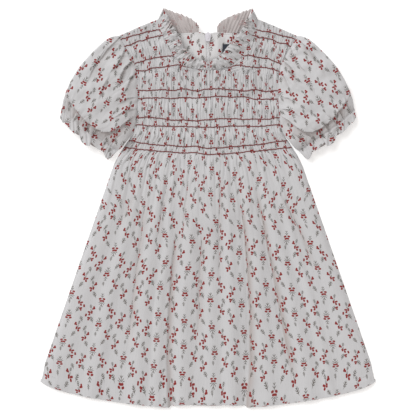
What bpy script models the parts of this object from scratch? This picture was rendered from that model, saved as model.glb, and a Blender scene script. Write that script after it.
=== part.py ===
"""A girl's smocked cotton dress with puff sleeves and a frilled V neck, laid flat on its back.

The model is in metres, +Z up. The hem points to -Y, the neck to +Y and the front faces +Z.
Tables hold millimetres, which the constant MM turns into metres.
"""

import math

import bmesh
import bpy
from mathutils import Vector

MM = 0.001

# Cloth and seams
CLOTH = 1.3  # wall of the cotton, made thick enough to be handled as a solid
SEAM_GAP = 0.3  # free space between two pieces that are sewn or lie on each other
BACK_TOP = CLOTH
FRONT_FLOOR = BACK_TOP + 0.4

# Closure at the centre back
ZIP_TOP = 251.0
ZIP_END = 20.0
ZIP_TAPE_WIDTH = 12.5
ZIP_TAPE = 0.6
ZIP_COIL_WIDTH = 1.8
ZIP_COIL_HEIGHT = 1.4
TAPE_Z = CLOTH + SEAM_GAP + 0.1
FACING_Z = TAPE_Z + ZIP_TAPE + SEAM_GAP
FACING_TOP = FACING_Z + CLOTH
FACING_LANE = 2.6  # half width of the lane that the facings leave open over the zip coil
PULL_LIFT = 2.6  # room that the back keeps under itself for the pull tab
LIFT_LOW = 220.0  # the room ends here, below the tab's tip
LIFT_FALL = 14.0
FACING_BED = (66.0, 169.0, 9.0)  # where the front lies on the facing: half width, end, fall
ZIP_BED = (14.0, -20.0, 14.0)  # where it lies on the zip
ZIP_CLEAR = 0.9
LIFT_ROWS = [LIFT_LOW - LIFT_FALL * step / 4 for step in range(5)]

# Pull tab and slider
HINGE_Y = 247.0
HINGE_Z = 1.75
PIN = 0.7
BRIDGE_HOLE = 1.6
BRIDGE_WALL = 0.6
BRIDGE_WIDTH = 2.0
BRIDGE_ROOT = 0.5  # how far the bridge's web and legs run into the slider's body
TAB_PLAY = 0.4  # room between the tab's eye and the bridge
TAB_ARM = 0.9
TAB_WAIST = 0.6
TAB_NECK, TAB_NECK_Y = 1.9, -5.0  # half width and place of the tab's narrow neck
TAB_TIP, TAB_TIP_Y = 3.2, -16.5  # radius and centre of its round end
TAB_TIP_STEPS = 6
SLIDER_Z = FACING_TOP + PULL_LIFT + SEAM_GAP
SLIDER_HEIGHT = 2.0

# Gathers: count over one half of the front, and columns of points that draw them
HALF_GATHERS = 24
HALF_COLUMNS = 2 * HALF_GATHERS

# Rows of the front from shoulder to hem, for one half.
# centre_x, centre_y: the neckline or the centre front. side_x, side_y: armhole or side seam.
# gather: height of the gathers. puff: how far the cloth stands up between stitch rows.
# fold: share of the skirt folds. step: 1 where each gather is drawn, 2 below them.
FRONT_ROWS = [
    # centre_x, centre_y, side_x, side_y, gather, puff, fold, step
    (72.0, 273.0, 128.6, 249.0, 0.9, 0.0, 0.0, 1),
    (69.6, 258.7, 126.5, 244.0, 1.1, 0.2, 0.0, 1),
    (64.4, 249.7, 121.0, 233.5, 1.1, 0.2, 0.0, 1),
    (57.0, 235.0, 112.6, 220.0, 1.9, 1.4, 0.0, 1),
    (49.6, 221.1, 107.2, 208.0, 1.1, 0.2, 0.0, 1),
    (31.9, 206.0, 104.6, 197.5, 1.1, 0.2, 0.0, 1),
    (0.0, 198.7, 103.4, 187.0, 1.9, 1.2, 0.0, 1),
    (0.0, 170.8, 102.9, 169.7, 1.1, 0.2, 0.0, 1),
    (0.0, 160.1, 102.9, 158.0, 1.1, 0.2, 0.0, 1),
    (0.0, 144.0, 103.4, 144.0, 2.0, 1.5, 0.0, 1),
    (0.0, 127.9, 104.2, 130.5, 1.1, 0.2, 0.0, 1),
    (0.0, 117.0, 105.0, 120.4, 1.1, 0.2, 0.0, 1),
    (0.0, 102.5, 108.0, 108.5, 2.0, 1.5, 0.0, 1),
    (0.0, 87.9, 115.5, 97.3, 1.1, 0.3, 0.0, 1),
    (0.0, 78.7, 122.0, 87.7, 1.1, 0.3, 0.05, 1),
    (0.0, 70.0, 129.5, 76.0, 1.9, 1.2, 0.15, 1),
    (0.0, 54.0, 137.0, 61.0, 1.3, 1.2, 0.4, 1),
    (0.0, 26.0, 148.0, 29.0, 0.0, 1.0, 0.75, 2),
    (0.0, -18.0, 163.3, -15.0, 0.0, 0.6, 0.95, 2),
    (0.0, -75.0, 182.8, -71.0, 0.0, 0.3, 1.0, 2),
    (0.0, -137.0, 202.6, -128.0, 0.0, 0.2, 1.0, 2),
    (0.0, -197.0, 221.3, -182.0, 0.0, 0.2, 1.0, 2),
    (0.0, -249.0, 235.8, -224.0, 0.0, 0.2, 1.0, 2),
    (0.0, -290.45, 243.6, -248.5, 0.0, 0.2, 1.0, 2),
]
PUFF_BELOW = 0.25  # share of the puff by which the inside follows the outside
SPLIT_ROWS = 6  # rows above the point of the V, where the two halves stand apart

# Soft folds of the skirt. at_waist, at_hem: place as a share of the half width, + to the right.
SKIRT_FOLDS = [
    # at_waist, at_hem, height, half_width
    (-0.86, -0.90, 1.6, 0.085),
    (-0.70, -0.70, 2.6, 0.080),
    (-0.47, -0.44, 2.9, 0.085),
    (-0.34, -0.33, 2.1, 0.050),
    (-0.15, -0.165, 3.2, 0.085),
    (0.03, 0.02, 2.2, 0.070),
    (0.18, 0.145, 3.2, 0.075),
    (0.39, 0.36, 2.7, 0.085),
    (0.58, 0.61, 3.0, 0.080),
    (0.70, 0.74, 2.3, 0.050),
    (0.88, 0.91, 1.6, 0.080),
]
FOLD_TOP = 78.0  # height on the front where the folds start
HEM_OVERHANG = 3.6  # the side folds hang this much below the middle of the hem
HEM_MIDDLE = 55.0
HEM_BOW = 5.6e-4
HEM_CORNER = 7.0
ROW_BOW = 1.8  # how late a row turns from the level of the centre to that of the side
SHOULDER_BOW = 1.05  # the same on the shoulder seam, which runs nearly straight

# Armhole and side of the back follow the front's, a little inside them
BACK_INSET = 0.5
BACK_HEM_INSET = 1.6
BACK_EDGE = 0.15  # half the gap between the two halves of the back
BACK_NOTCH = 1.6  # half the gap where the slider's web passes through
# Rows of one half of the back below the shoulder. row: the row of FRONT_ROWS whose side it takes.
BACK_ROWS = [
    # row, centre_x, centre_y
    (1, BACK_NOTCH, 252.0),
    (2, BACK_NOTCH, 243.2),
    (3, BACK_EDGE, 240.0),
    (4, BACK_EDGE, LIFT_ROWS[0]),
    (4.5, BACK_EDGE, LIFT_ROWS[1]),
    (5, BACK_EDGE, LIFT_ROWS[2]),
    (5.5, BACK_EDGE, LIFT_ROWS[3]),
    (6, BACK_EDGE, LIFT_ROWS[4]),
    (7, BACK_EDGE, 176.0),
    (9, BACK_EDGE, 144.0),
    (12, BACK_EDGE, 102.5),
    (13, BACK_EDGE, 87.9),
    (14, BACK_EDGE, 78.7),
    (15, BACK_EDGE, 70.0),
    (16, BACK_EDGE, 54.0),
    (17, BACK_EDGE, 26.0),
    (19, BACK_EDGE, -75.0),
    (21, BACK_EDGE, -195.0),
    (22, BACK_EDGE, -245.0),
    (23, BACK_EDGE, -290.45),
]
BACK_NECK_POINT = (61.0, 266.0)
BACK_OFFSETS = [0.0, 6.0, 12.4, 16.0, 20.0, 26.5]  # columns near the centre back
BACK_SHARES = [0.25, 0.5, 0.75, 1.0]  # columns between the last offset and the side

# Puff sleeve from armhole to frill. a: outer fold, m: middle, b: under fold, as x, y.
# height: top of the puff. follow: share of the armhole's own curve. cap, cuff: gathers.
SLEEVE_RINGS = [
    # ax, ay, mx, my, bx, by, height, follow, cap, cuff
    (129.3, 249.0, 103.6, 177.0, 108.7, 108.5, 5.2, 1.0, 1.0, 0.0),
    (137.5, 248.0, 112.0, 176.5, 111.5, 107.0, 8.4, 0.7, 1.4, 0.0),
    (150.0, 241.0, 125.0, 171.0, 115.5, 103.0, 12.4, 0.35, 1.2, 0.0),
    (166.5, 225.0, 143.0, 163.5, 120.0, 99.0, 15.8, 0.1, 0.7, 0.0),
    (184.5, 205.0, 159.0, 152.5, 124.5, 95.5, 17.6, 0.0, 0.2, 0.1),
    (199.5, 180.5, 172.5, 139.5, 128.5, 92.0, 17.0, 0.0, 0.0, 0.4),
    (208.5, 158.0, 179.0, 127.0, 132.0, 89.0, 14.0, 0.0, 0.0, 0.9),
    (211.3, 144.0, 180.0, 116.5, 134.5, 86.5, 8.5, 0.0, 0.0, 1.1),
    (212.6, 138.0, 180.2, 110.5, 137.0, 82.0, 8.8, 0.0, 0.0, 1.2),
    (214.0, 131.0, 180.5, 100.0, 141.5, 75.0, 11.0, 0.0, 0.0, 1.5),
]
ARMHOLE_ROWS = 12  # row of the front at the underarm
ARMHOLE_GAP = 0.7
SLEEVE_TOP_POINTS = 36
SLEEVE_FLOOR_POINTS = 8

# Neck frill: seam and free edge from the centre back to the shoulder, then down the V.
FRILL_BACK = [
    # seam_x, seam_y, edge_x, edge_y, edge_z
    (13.4, 254.6, 13.0, 262.0, 8.4),
    (16.0, 254.5, 16.5, 267.0, 9.2),
    (21.0, 254.4, 22.0, 271.5, 9.2),
    (29.0, 254.2, 30.5, 276.2, 9.0),
    (38.0, 253.9, 41.0, 280.0, 8.6),
    (46.5, 253.6, 51.0, 283.8, 8.2),
    (53.0, 257.8, 57.5, 286.4, 7.6),
    (57.5, 262.3, 61.5, 288.0, 7.2),
]
FRILL_BACK_Z = 2.1
FRILL_BACK_WAVES = 10
FRILL_FRONT = [
    # row of the front on whose neckline the seam lies, edge_x, edge_y, edge_z
    (0.0, 64.0, 288.66, 11.0),
    (0.6, 58.0, 275.5, 12.4),
    (1.4, 51.0, 263.0, 13.0),
    (2.4, 44.0, 251.0, 13.2),
    (3.2, 38.8, 239.0, 13.0),
    (4.0, 34.5, 228.5, 12.6),
    (4.6, 27.5, 219.0, 12.2),
    (5.3, 16.0, 211.5, 11.8),
    (6.0, 0.8, 208.0, 11.4),
]
FRILL_SEAM = 0.6  # step from the front's neckline to the frill's seam edge
FRILL_FRONT_WAVES = 14
FRILL_ACROSS = 3  # strips of faces from seam to free edge
FRILL_CLOTH = 1.1

# Loop label in the back neck
LABEL = (21.0, 34.0, 221.0, 236.5)  # low x, high x, low y, high y
LABEL_CLOTH = 1.0

COTTON = (0.62, 0.60, 0.60)
COTTON_WRONG_SIDE = (0.53, 0.48, 0.47)
ZIP_PALE = (0.66, 0.63, 0.68)
LABEL_NAVY = (0.03, 0.04, 0.07)


def smooth(value):
    """0 below 0, 1 above 1 and a soft S between."""
    value = min(1.0, max(0.0, value))
    return value * value * (3.0 - 2.0 * value)


def plateau(x, y, half_width, low_y, fall):
    """1 over a strip about the centre back down to low_y, and 0 a fall's width outside it."""
    return smooth((half_width + fall - abs(x)) / fall) * smooth((y - low_y + fall) / fall)


def pull_lift(x, y):
    """How far the back is lifted off the ground over the pull tab."""
    return PULL_LIFT * plateau(x, y, ZIP_TAPE_WIDTH, LIFT_LOW, LIFT_FALL)


def front_floor(x, y):
    """Underside of the front where it lies on the back, the facings and the zip."""
    over_facing = (FACING_TOP + SEAM_GAP - BACK_TOP) * plateau(x, y, *FACING_BED)
    over_zip = (FACING_Z + ZIP_CLEAR - BACK_TOP) * plateau(x, y, *ZIP_BED)
    return FRONT_FLOOR + max(over_facing, over_zip) + pull_lift(x, y)


def uneven(index, salt=0.0):
    """A fixed value from 0 to 1 that differs from one gather to the next."""
    return 0.5 + 0.5 * math.sin(index * 12.9898 + salt * 4.1414 + math.sin(index * 3.7 + salt))


def material(name, colour, roughness=0.85, metallic=0.0):
    made = bpy.data.materials.new(name)
    made.use_nodes = True
    shader = made.node_tree.nodes["Principled BSDF"]
    shader.inputs["Base Color"].default_value = (*colour, 1.0)
    shader.inputs["Roughness"].default_value = roughness
    shader.inputs["Metallic"].default_value = metallic
    return made


class Cloth:
    """Collects the points and faces of one closed piece."""

    def __init__(self, name):
        self.name = name
        self.mesh = bmesh.new()

    def row(self, points):
        """Adds points and returns their corners. A point is x, y, z in millimetres, or None."""
        return [self.mesh.verts.new(Vector(p) * MM) if p else None for p in points]

    def strip(self, first, second, wrap=False):
        """Joins two rows of corners, whose gaps (None) may differ, cell by cell."""
        shared = [i for i, pair in enumerate(zip(first, second)) if pair[0] and pair[1]]
        if wrap:
            shared.append(len(first))
            first, second = first + first[:1], second + second[:1]
        for low, high in zip(shared, shared[1:]):
            upper = [v for v in first[low : high + 1] if v]
            lower = [v for v in second[low : high + 1] if v]
            self.face(upper + lower[::-1])

    def face(self, corners):
        around = []
        for corner in corners:
            if corner not in around:
                around.append(corner)
        if len(around) > 2:
            self.mesh.faces.new(around)

    def finish(self, collection, look, mirror=False):
        if mirror:
            for vert in self.mesh.verts:
                vert.co.x = -vert.co.x
        bmesh.ops.recalc_face_normals(self.mesh, faces=self.mesh.faces)
        bmesh.ops.triangulate(self.mesh, faces=self.mesh.faces, ngon_method="EAR_CLIP")
        if self.mesh.calc_volume(signed=True) < 0:
            bmesh.ops.reverse_faces(self.mesh, faces=self.mesh.faces)
        data = bpy.data.meshes.new(self.name)
        self.mesh.to_mesh(data)
        self.mesh.free()
        data.shade_smooth()
        data.set_sharp_from_angle(angle=math.radians(50))
        data.materials.append(look)
        made = bpy.data.objects.new(self.name, data)
        collection.objects.link(made)
        return made


def skirt_fold(share, fold, y):
    """Height of the soft folds at a share of the half width, from -1 to 1."""
    if fold == 0.0:
        return 0.0
    down = smooth((FOLD_TOP - y) / (FOLD_TOP - FRONT_ROWS[-1][1]))
    total = 0.0
    for at_waist, at_hem, height, half_width in SKIRT_FOLDS:
        middle = at_waist + (at_hem - at_waist) * down
        reach = (share - middle) / half_width
        if abs(reach) < 1.0:
            total = max(total, height * (0.5 + 0.5 * math.cos(math.pi * reach)))
    return total * fold * (0.75 + 0.25 * down) * smooth((1.0 - abs(share)) / 0.05)


def row_bow(row):
    """The bow of a row: straight on the shoulder, full from the point of the V down."""
    return SHOULDER_BOW + (ROW_BOW - SHOULDER_BOW) * smooth(row / SPLIT_ROWS)


def hem_y(x, y_centre, half_width):
    """The hem's curve: a parabola with a quick turn up at the side seams."""
    curve = HEM_BOW * x * x + HEM_CORNER * (abs(x) / half_width) ** 16
    middle = HEM_OVERHANG * smooth((HEM_MIDDLE + 1.5 - abs(x)) / 3.0)
    return y_centre + curve + middle


def front_point(side, column, row_index, inside):
    """One point of the front. side is -1 or 1, column runs from the centre to the side."""
    centre_x, centre_y, side_x, side_y, gather, puff, fold = FRONT_ROWS[row_index][:7]
    share = column / HALF_COLUMNS
    x = centre_x + (side_x - centre_x) * share
    y = centre_y + (side_y - centre_y) * share ** row_bow(row_index)
    if row_index == len(FRONT_ROWS) - 1:
        y = hem_y(x, centre_y, side_x)
    edge = smooth((1.0 - share) / 0.10)
    floor = front_floor(side * x, y) + skirt_fold(side * share, fold, y)
    floor += PUFF_BELOW * puff * edge
    if inside:
        return (side * x, y, floor)
    crest = (column % 2) * gather * (0.55 + 0.45 * uneven(column, row_index * 0.15 + side))
    return (side * x, y, floor + CLOTH + (crest + 0.5 * puff) * edge)


def front_row(cloth, side, row_index, inside, centre):
    step = FRONT_ROWS[row_index][7]
    if inside:
        step = 4 if step == 1 else 2
    points = []
    for column in range(HALF_COLUMNS + 1):
        wanted = column % step == 0
        if column == 0 and centre:
            points.append(None)
        else:
            points.append(front_point(side, column, row_index, inside) if wanted else None)
    corners = cloth.row(points)
    if centre:
        corners[0] = centre
    return corners


def build_front(collection, look):
    """The smocked front, cut in one from shoulder to hem."""
    cloth = Cloth("front")
    rows = {}
    for inside in (False, True):
        for index in range(len(FRONT_ROWS)):
            rows[-1, index, inside] = front_row(cloth, -1, index, inside, None)
            centre = None if index < SPLIT_ROWS else rows[-1, index, inside][0]
            rows[1, index, inside] = front_row(cloth, 1, index, inside, centre)
    last = len(FRONT_ROWS) - 1
    for side in (-1, 1):
        for inside in (False, True):
            for index in range(last):
                cloth.strip(rows[side, index, inside], rows[side, index + 1, inside])
        cloth.strip(rows[side, 0, False], rows[side, 0, True])
        cloth.strip(rows[side, last, False], rows[side, last, True])
        for index in range(last):
            outer, inner = rows[side, index, False], rows[side, index, True]
            below, below_in = rows[side, index + 1, False], rows[side, index + 1, True]
            cloth.face([outer[-1], below[-1], below_in[-1], inner[-1]])
            if index < SPLIT_ROWS:
                cloth.face([outer[0], below[0], below_in[0], inner[0]])
    return cloth.finish(collection, look)


def side_at(row):
    """The armhole or side seam at a row of the front, or between two rows."""
    index = min(int(row), len(FRONT_ROWS) - 2)
    above, below = FRONT_ROWS[index], FRONT_ROWS[index + 1]
    t = row - index
    return above[2] + (below[2] - above[2]) * t, above[3] + (below[3] - above[3]) * t


def back_row(row, centre_x, centre_y):
    """Plan points of one row of the back, from the centre back to the armhole or side."""
    side_x, side_y = side_at(row)
    side_x -= BACK_INSET
    offsets = BACK_OFFSETS + [
        BACK_OFFSETS[-1] + (side_x - centre_x - BACK_OFFSETS[-1]) * share for share in BACK_SHARES
    ]
    points = []
    for offset in offsets:
        x = centre_x + offset
        share = offset / (side_x - centre_x)
        y = centre_y + (side_y - centre_y) * share ** row_bow(row)
        if row == 1:
            y += 2.0 * smooth(offset / 8.0)
        if row == len(FRONT_ROWS) - 1:
            y = hem_y(x, centre_y, side_x) + BACK_HEM_INSET
        points.append((x, y))
    return points


def build_back(collection, look, side):
    """One half of the back, cut in one from shoulder to hem, open at the centre for the zip."""
    cloth = Cloth("back_left" if side < 0 else "back_right")
    shoulder_x, shoulder_y = FRONT_ROWS[0][2] - BACK_INSET, FRONT_ROWS[0][3] - BACK_INSET
    neck_x, neck_y = BACK_NECK_POINT
    steps = len(BACK_SHARES) - 1
    shoulder = [
        (neck_x + (shoulder_x - neck_x) * i / steps, neck_y + (shoulder_y - neck_y) * i / steps)
        for i in range(steps + 1)
    ]
    plans = [shoulder] + [back_row(*row) for row in BACK_ROWS]
    lower = [cloth.row([(x, y, pull_lift(x, y)) for x, y in plan]) for plan in plans]
    upper = [cloth.row([(x, y, pull_lift(x, y) + CLOTH) for x, y in plan]) for plan in plans]
    neck = len(BACK_OFFSETS)
    for layer in (lower, upper):
        cloth.strip(layer[0], layer[1][neck:])
        for above, below in zip(layer[1:], layer[2:]):
            cloth.strip(above, below)
    cloth.strip(lower[0], upper[0])
    cloth.strip(lower[-1], upper[-1])
    cloth.strip([lower[0][0]] + lower[1][neck::-1], [upper[0][0]] + upper[1][neck::-1])
    cloth.strip([row[-1] for row in lower], [row[-1] for row in upper])
    cloth.strip([row[0] for row in lower[1:]], [row[0] for row in upper[1:]])
    return cloth.finish(collection, look, mirror=side < 0)


# One half of the facing inside the back neck: distance from the centre, and its two edges
FACING = [
    # x, top_y, low_y
    (FACING_LANE, 250.6, 188.0),
    (5.5, 252.8, 187.6),
    (9.0, 253.7, 187.4),
    (12.6, 253.8, 187.2),
    (16.0, 253.8, 187.2),
    (20.0, 253.7, 187.4),
    (26.5, 253.4, 188.2),
    (34.0, 253.1, 189.0),
    (45.0, 252.6, 191.0),
    (56.0, 255.0, 196.0),
    (64.0, 259.0, 203.0),
]


def build_facing(collection, look, side):
    """Self facing of the back neck. Its right side shows through the neck."""
    cloth = Cloth("back_facing_left" if side < 0 else "back_facing_right")
    layers = []
    for height in (FACING_Z, FACING_TOP):
        rows = []
        for x, top_y, low_y in FACING:
            heights = [top_y, 236.0] + LIFT_ROWS + [low_y]
            points = [(x, y, height + pull_lift(x, y)) for y in heights]
            rows.append(cloth.row(points))
        layers.append(rows)
    lower, upper = layers
    for rows in layers:
        for first, second in zip(rows, rows[1:]):
            cloth.strip(first, second)
    cloth.strip(lower[0], upper[0])
    cloth.strip(lower[-1], upper[-1])
    cloth.strip([row[0] for row in lower], [row[0] for row in upper])
    cloth.strip([row[-1] for row in lower], [row[-1] for row in upper])
    return cloth.finish(collection, look, mirror=side < 0)


def curve_through(start, middle, end, share):
    """A point of the parabola through three points at 0, 1/2 and 1."""
    a = 2 * (share - 0.5) * (share - 1)
    b = -4 * share * (share - 1)
    c = 2 * share * (share - 0.5)
    return a * start + b * middle + c * end


def armhole(share):
    """A point of the armhole seam on the sleeve's side, from shoulder to underarm."""
    place = share * ARMHOLE_ROWS
    index = min(int(place), ARMHOLE_ROWS - 1)
    above, below = FRONT_ROWS[index], FRONT_ROWS[index + 1]
    t = place - index
    x = above[2] + (below[2] - above[2]) * t
    return x + ARMHOLE_GAP, above[3] + (below[3] - above[3]) * t


def sleeve_plan(ring, share):
    """A point of a ring in plan: a curve that follows the armhole near it."""
    ax, ay, mx, my, bx, by = ring[:6]
    follow = ring[7]
    x, y = curve_through(ax, mx, bx, share), curve_through(ay, my, by, share)
    if follow:
        ax, ay, mx, my, bx, by = SLEEVE_RINGS[0][:6]
        hole_x, hole_y = armhole(share)
        x += follow * (hole_x - curve_through(ax, mx, bx, share))
        y += follow * (hole_y - curve_through(ay, my, by, share))
    return x, y


def sleeve_ring(ring, inset, dense):
    """One ring of the sleeve, over the top from the outer fold to the under fold and back."""
    height, _, cap, cuff = ring[6:]
    width = math.dist(ring[0:2], ring[4:6])
    half = 0.5 * height
    points = []
    top_count = SLEEVE_TOP_POINTS
    for i in range(top_count + SLEEVE_FLOOR_POINTS):
        sparse = 4 if i < top_count else 2
        if i % (1 if dense else sparse):
            points.append(None)
            continue
        if i <= top_count:
            turn = math.pi * i / top_count
            over = True
        else:
            turn = math.pi * (1 + (i - top_count) / SLEEVE_FLOOR_POINTS)
            over = False
        share = 0.5 - 0.5 * math.cos(turn) * (1 - 2 * inset / width)
        lift = abs(math.sin(turn)) ** 0.7
        if over:
            z = half + (half - inset) * lift
        else:
            z = half - (half - inset) * min(1.0, 1.6 * lift)
        if over and dense:
            wave = (i % 2) * (0.5 + 0.5 * uneven(i, height))
            z += wave * (cap + cuff) * smooth(4 * share) * smooth(4 * (1 - share))
        points.append((*sleeve_plan(ring, share), z))
    return points


def build_sleeve(collection, look, side):
    """A puff sleeve: a hollow tube from armhole to frilled hem, gathered at both ends."""
    cloth = Cloth("sleeve_left" if side < 0 else "sleeve_right")
    outer = [cloth.row(sleeve_ring(ring, 0.0, True)) for ring in SLEEVE_RINGS]
    inner = [cloth.row(sleeve_ring(ring, CLOTH, False)) for ring in SLEEVE_RINGS]
    for layer in (outer, inner):
        for first, second in zip(layer, layer[1:]):
            cloth.strip(first, second, wrap=True)
    cloth.strip(outer[0], inner[0], wrap=True)
    cloth.strip(outer[-1], inner[-1], wrap=True)
    return cloth.finish(collection, look, mirror=side < 0)


def along(table, place):
    """A row of a table read between its lines with a smooth curve."""
    place = min(max(place, 0.0), len(table) - 1.0)
    index = min(int(place), len(table) - 2)
    t = place - index
    rows = [table[min(max(index + k, 0), len(table) - 1)] for k in (-1, 0, 1, 2)]
    weights = (
        -0.5 * t + t * t - 0.5 * t**3,
        1 - 2.5 * t * t + 1.5 * t**3,
        0.5 * t + 2 * t * t - 1.5 * t**3,
        -0.5 * t * t + 0.5 * t**3,
    )
    return [sum(w * row[c] for w, row in zip(weights, rows)) for c in range(len(table[0]))]


def frill_back_ends(place):
    """Seam and free edge of the back frill, which stands on the back's neckline."""
    seam_x, seam_y, *edge = along(FRILL_BACK, place)
    return Vector((seam_x, seam_y, FRILL_BACK_Z + pull_lift(seam_x, seam_y))), Vector(edge)


def frill_front_ends(place):
    """Seam and free edge of the front frill, which stands on the front's neckline."""
    row, *edge = along(FRILL_FRONT, place)
    index = min(max(int(row), 0), SPLIT_ROWS - 1)
    above, below = FRONT_ROWS[index], FRONT_ROWS[index + 1]
    t = row - index
    x = above[0] + (below[0] - above[0]) * t - FRILL_SEAM
    y = above[1] + (below[1] - above[1]) * t + FRILL_SEAM
    x = max(x, SEAM_GAP)
    return Vector((x, y, front_floor(x, y))), Vector(edge)


def build_frill(collection, look, side, name, ends_at, length, waves, sway):
    """A gathered strip on the neckline, from its seam to its free edge."""
    cloth = Cloth(f"{name}_{'left' if side < 0 else 'right'}")
    stations = 4 * waves + 1
    layers = [[], []]
    for i in range(stations):
        seam, edge = ends_at((length - 1) * i / (stations - 1))
        wave = math.sin(math.pi * i / 2) * (0.6 + 0.4 * uneven(i // 2, waves))
        ends = smooth(min(i, stations - 1 - i) / 2)
        for layer, thick in zip(layers, (0.0, FRILL_CLOTH)):
            points = []
            for k in range(FRILL_ACROSS + 1):
                share = k / FRILL_ACROSS
                point = seam.lerp(edge, share)
                point.z += sway * wave * ends * share + thick
                points.append(tuple(point))
            layer.append(cloth.row(points))
    lower, upper = layers
    for rows in layers:
        for first, second in zip(rows, rows[1:]):
            cloth.strip(first, second)
    cloth.strip(lower[0], upper[0])
    cloth.strip(lower[-1], upper[-1])
    cloth.strip([row[0] for row in lower], [row[0] for row in upper])
    cloth.strip([row[-1] for row in lower], [row[-1] for row in upper])
    return cloth.finish(collection, look, mirror=side < 0)


def build_zip_tape(collection, look, side):
    """Half of the closed zip: a flat tape with its half of the coil along the centre edge."""
    cloth = Cloth("zip_tape_left" if side < 0 else "zip_tape_right")
    rows = []
    for y in [ZIP_TOP, 243.4, 242.0, 236.0] + LIFT_ROWS + [ZIP_END]:
        edge = BACK_NOTCH if y > 243.0 else BACK_EDGE
        section = [
            (edge, 0.0),
            (ZIP_TAPE_WIDTH, 0.0),
            (ZIP_TAPE_WIDTH, ZIP_TAPE),
            (ZIP_COIL_WIDTH + 0.3, ZIP_TAPE),
            (ZIP_COIL_WIDTH, ZIP_COIL_HEIGHT),
            (edge, ZIP_COIL_HEIGHT),
        ]
        rows.append(cloth.row([(x, y, TAPE_Z + z + pull_lift(x, y)) for x, z in section]))
    for first, second in zip(rows, rows[1:]):
        cloth.strip(first, second, wrap=True)
    cloth.face(rows[0])
    cloth.face(rows[-1])
    return cloth.finish(collection, look, mirror=side < 0)


def add_block(collection, name, size, centre):
    """A plain block, as a step in making the slider."""
    bpy.ops.mesh.primitive_cube_add(size=1.0)
    block = bpy.context.active_object
    block.name = name
    for vert in block.data.vertices:
        vert.co = Vector([vert.co[i] * size[i] * MM + centre[i] * MM for i in range(3)])
    for owner in list(block.users_collection):
        owner.objects.unlink(block)
    collection.objects.link(block)
    return block


def flat_outline(name, outlines, thickness, centre, look):
    """A plate cut to a closed outline, with any further outlines as holes."""
    curve = bpy.data.curves.new(name, "CURVE")
    curve.dimensions = "2D"
    curve.fill_mode = "BOTH"
    curve.extrude = 0.5 * thickness * MM
    for outline in outlines:
        spline = curve.splines.new("POLY")
        spline.points.add(len(outline) - 1)
        for point, (x, y) in zip(spline.points, outline):
            point.co = (x * MM, y * MM, 0.0, 1.0)
        spline.use_cyclic_u = True
    plate = bpy.data.objects.new(name, curve)
    bpy.context.scene.collection.objects.link(plate)
    bpy.context.view_layer.update()
    graph = bpy.context.evaluated_depsgraph_get()
    data = bpy.data.meshes.new_from_object(plate.evaluated_get(graph))
    bpy.data.objects.remove(plate)
    work = bmesh.new()
    work.from_mesh(data)
    bmesh.ops.remove_doubles(work, verts=work.verts, dist=1e-6)
    bmesh.ops.recalc_face_normals(work, faces=work.faces)
    work.to_mesh(data)
    work.free()
    data.name = name
    data.materials.clear()
    data.materials.append(look)
    made = bpy.data.objects.new(name, data)
    made.location = Vector(centre) * MM
    return made


# The slider's face inside the neck: a shield with a pointed top
SLIDER_OUTLINE = [(0.0, 254.2), (3.6, 251.4), (4.2, 249.6), (3.1, 241.4), (2.6, 240.8)]


def build_slider(collection, helpers, look):
    """The slider of the concealed zip: its body inside the back, its bridge on the outside."""
    outline = SLIDER_OUTLINE + [(-x, y) for x, y in SLIDER_OUTLINE[:0:-1]]
    middle = SLIDER_Z + 0.5 * SLIDER_HEIGHT
    slider = flat_outline("zip_slider", [outline], SLIDER_HEIGHT, (0, 0, middle), look)
    collection.objects.link(slider)
    reach = 0.5 * BRIDGE_HOLE + BRIDGE_WALL
    top = HINGE_Z + 0.5 * BRIDGE_HOLE
    foot = HINGE_Z - 0.5 * BRIDGE_HOLE - BRIDGE_WALL
    root = SLIDER_Z + BRIDGE_ROOT
    leg = top - foot + 0.5 * BRIDGE_ROOT
    blocks = [
        ("web", (BRIDGE_WIDTH, 2 * reach, root - top), (0, HINGE_Y, 0.5 * (root + top))),
        ("bridge_bar", (BRIDGE_WIDTH, 2 * reach, BRIDGE_WALL), (0, HINGE_Y, foot + 0.5 * BRIDGE_WALL)),
    ]
    for sign in (-1, 1):
        y = HINGE_Y + sign * (reach - 0.5 * BRIDGE_WALL)
        blocks.append(("bridge_leg", (BRIDGE_WIDTH, BRIDGE_WALL, leg), (0, y, foot + 0.5 * leg)))
    for name, size, centre in blocks:
        block = add_block(helpers, name, size, centre)
        block.hide_render = True
        block.display_type = "WIRE"
        join = slider.modifiers.new(name, "BOOLEAN")
        join.operation = "UNION"
        join.object = block
    return slider


def build_pull_tab(collection, look):
    """The drop-shaped pull tab, which hangs by its eye on the slider's bridge."""
    half_pin = 0.5 * PIN
    eye_half = 0.5 * BRIDGE_WIDTH + TAB_PLAY
    eye_low = math.sqrt(2) * (0.5 * BRIDGE_HOLE + BRIDGE_WALL) + TAB_PLAY
    outer = eye_half + TAB_ARM
    right = [(outer, half_pin), (outer, -eye_low - TAB_WAIST), (TAB_NECK, TAB_NECK_Y)]
    for i in range(TAB_TIP_STEPS + 1):
        turn = 0.5 * math.pi * i / TAB_TIP_STEPS
        right.append((TAB_TIP * math.cos(turn), TAB_TIP_Y - TAB_TIP * math.sin(turn)))
    left = [(-x, y) for x, y in right[-2::-1]]
    hole = [(eye_half, -half_pin), (-eye_half, -half_pin), (-eye_half, -eye_low), (eye_half, -eye_low)]
    tab = flat_outline("zip_pull_tab", [right + left, hole], PIN, (0, HINGE_Y, HINGE_Z), look)
    collection.objects.link(tab)
    return tab


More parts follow.
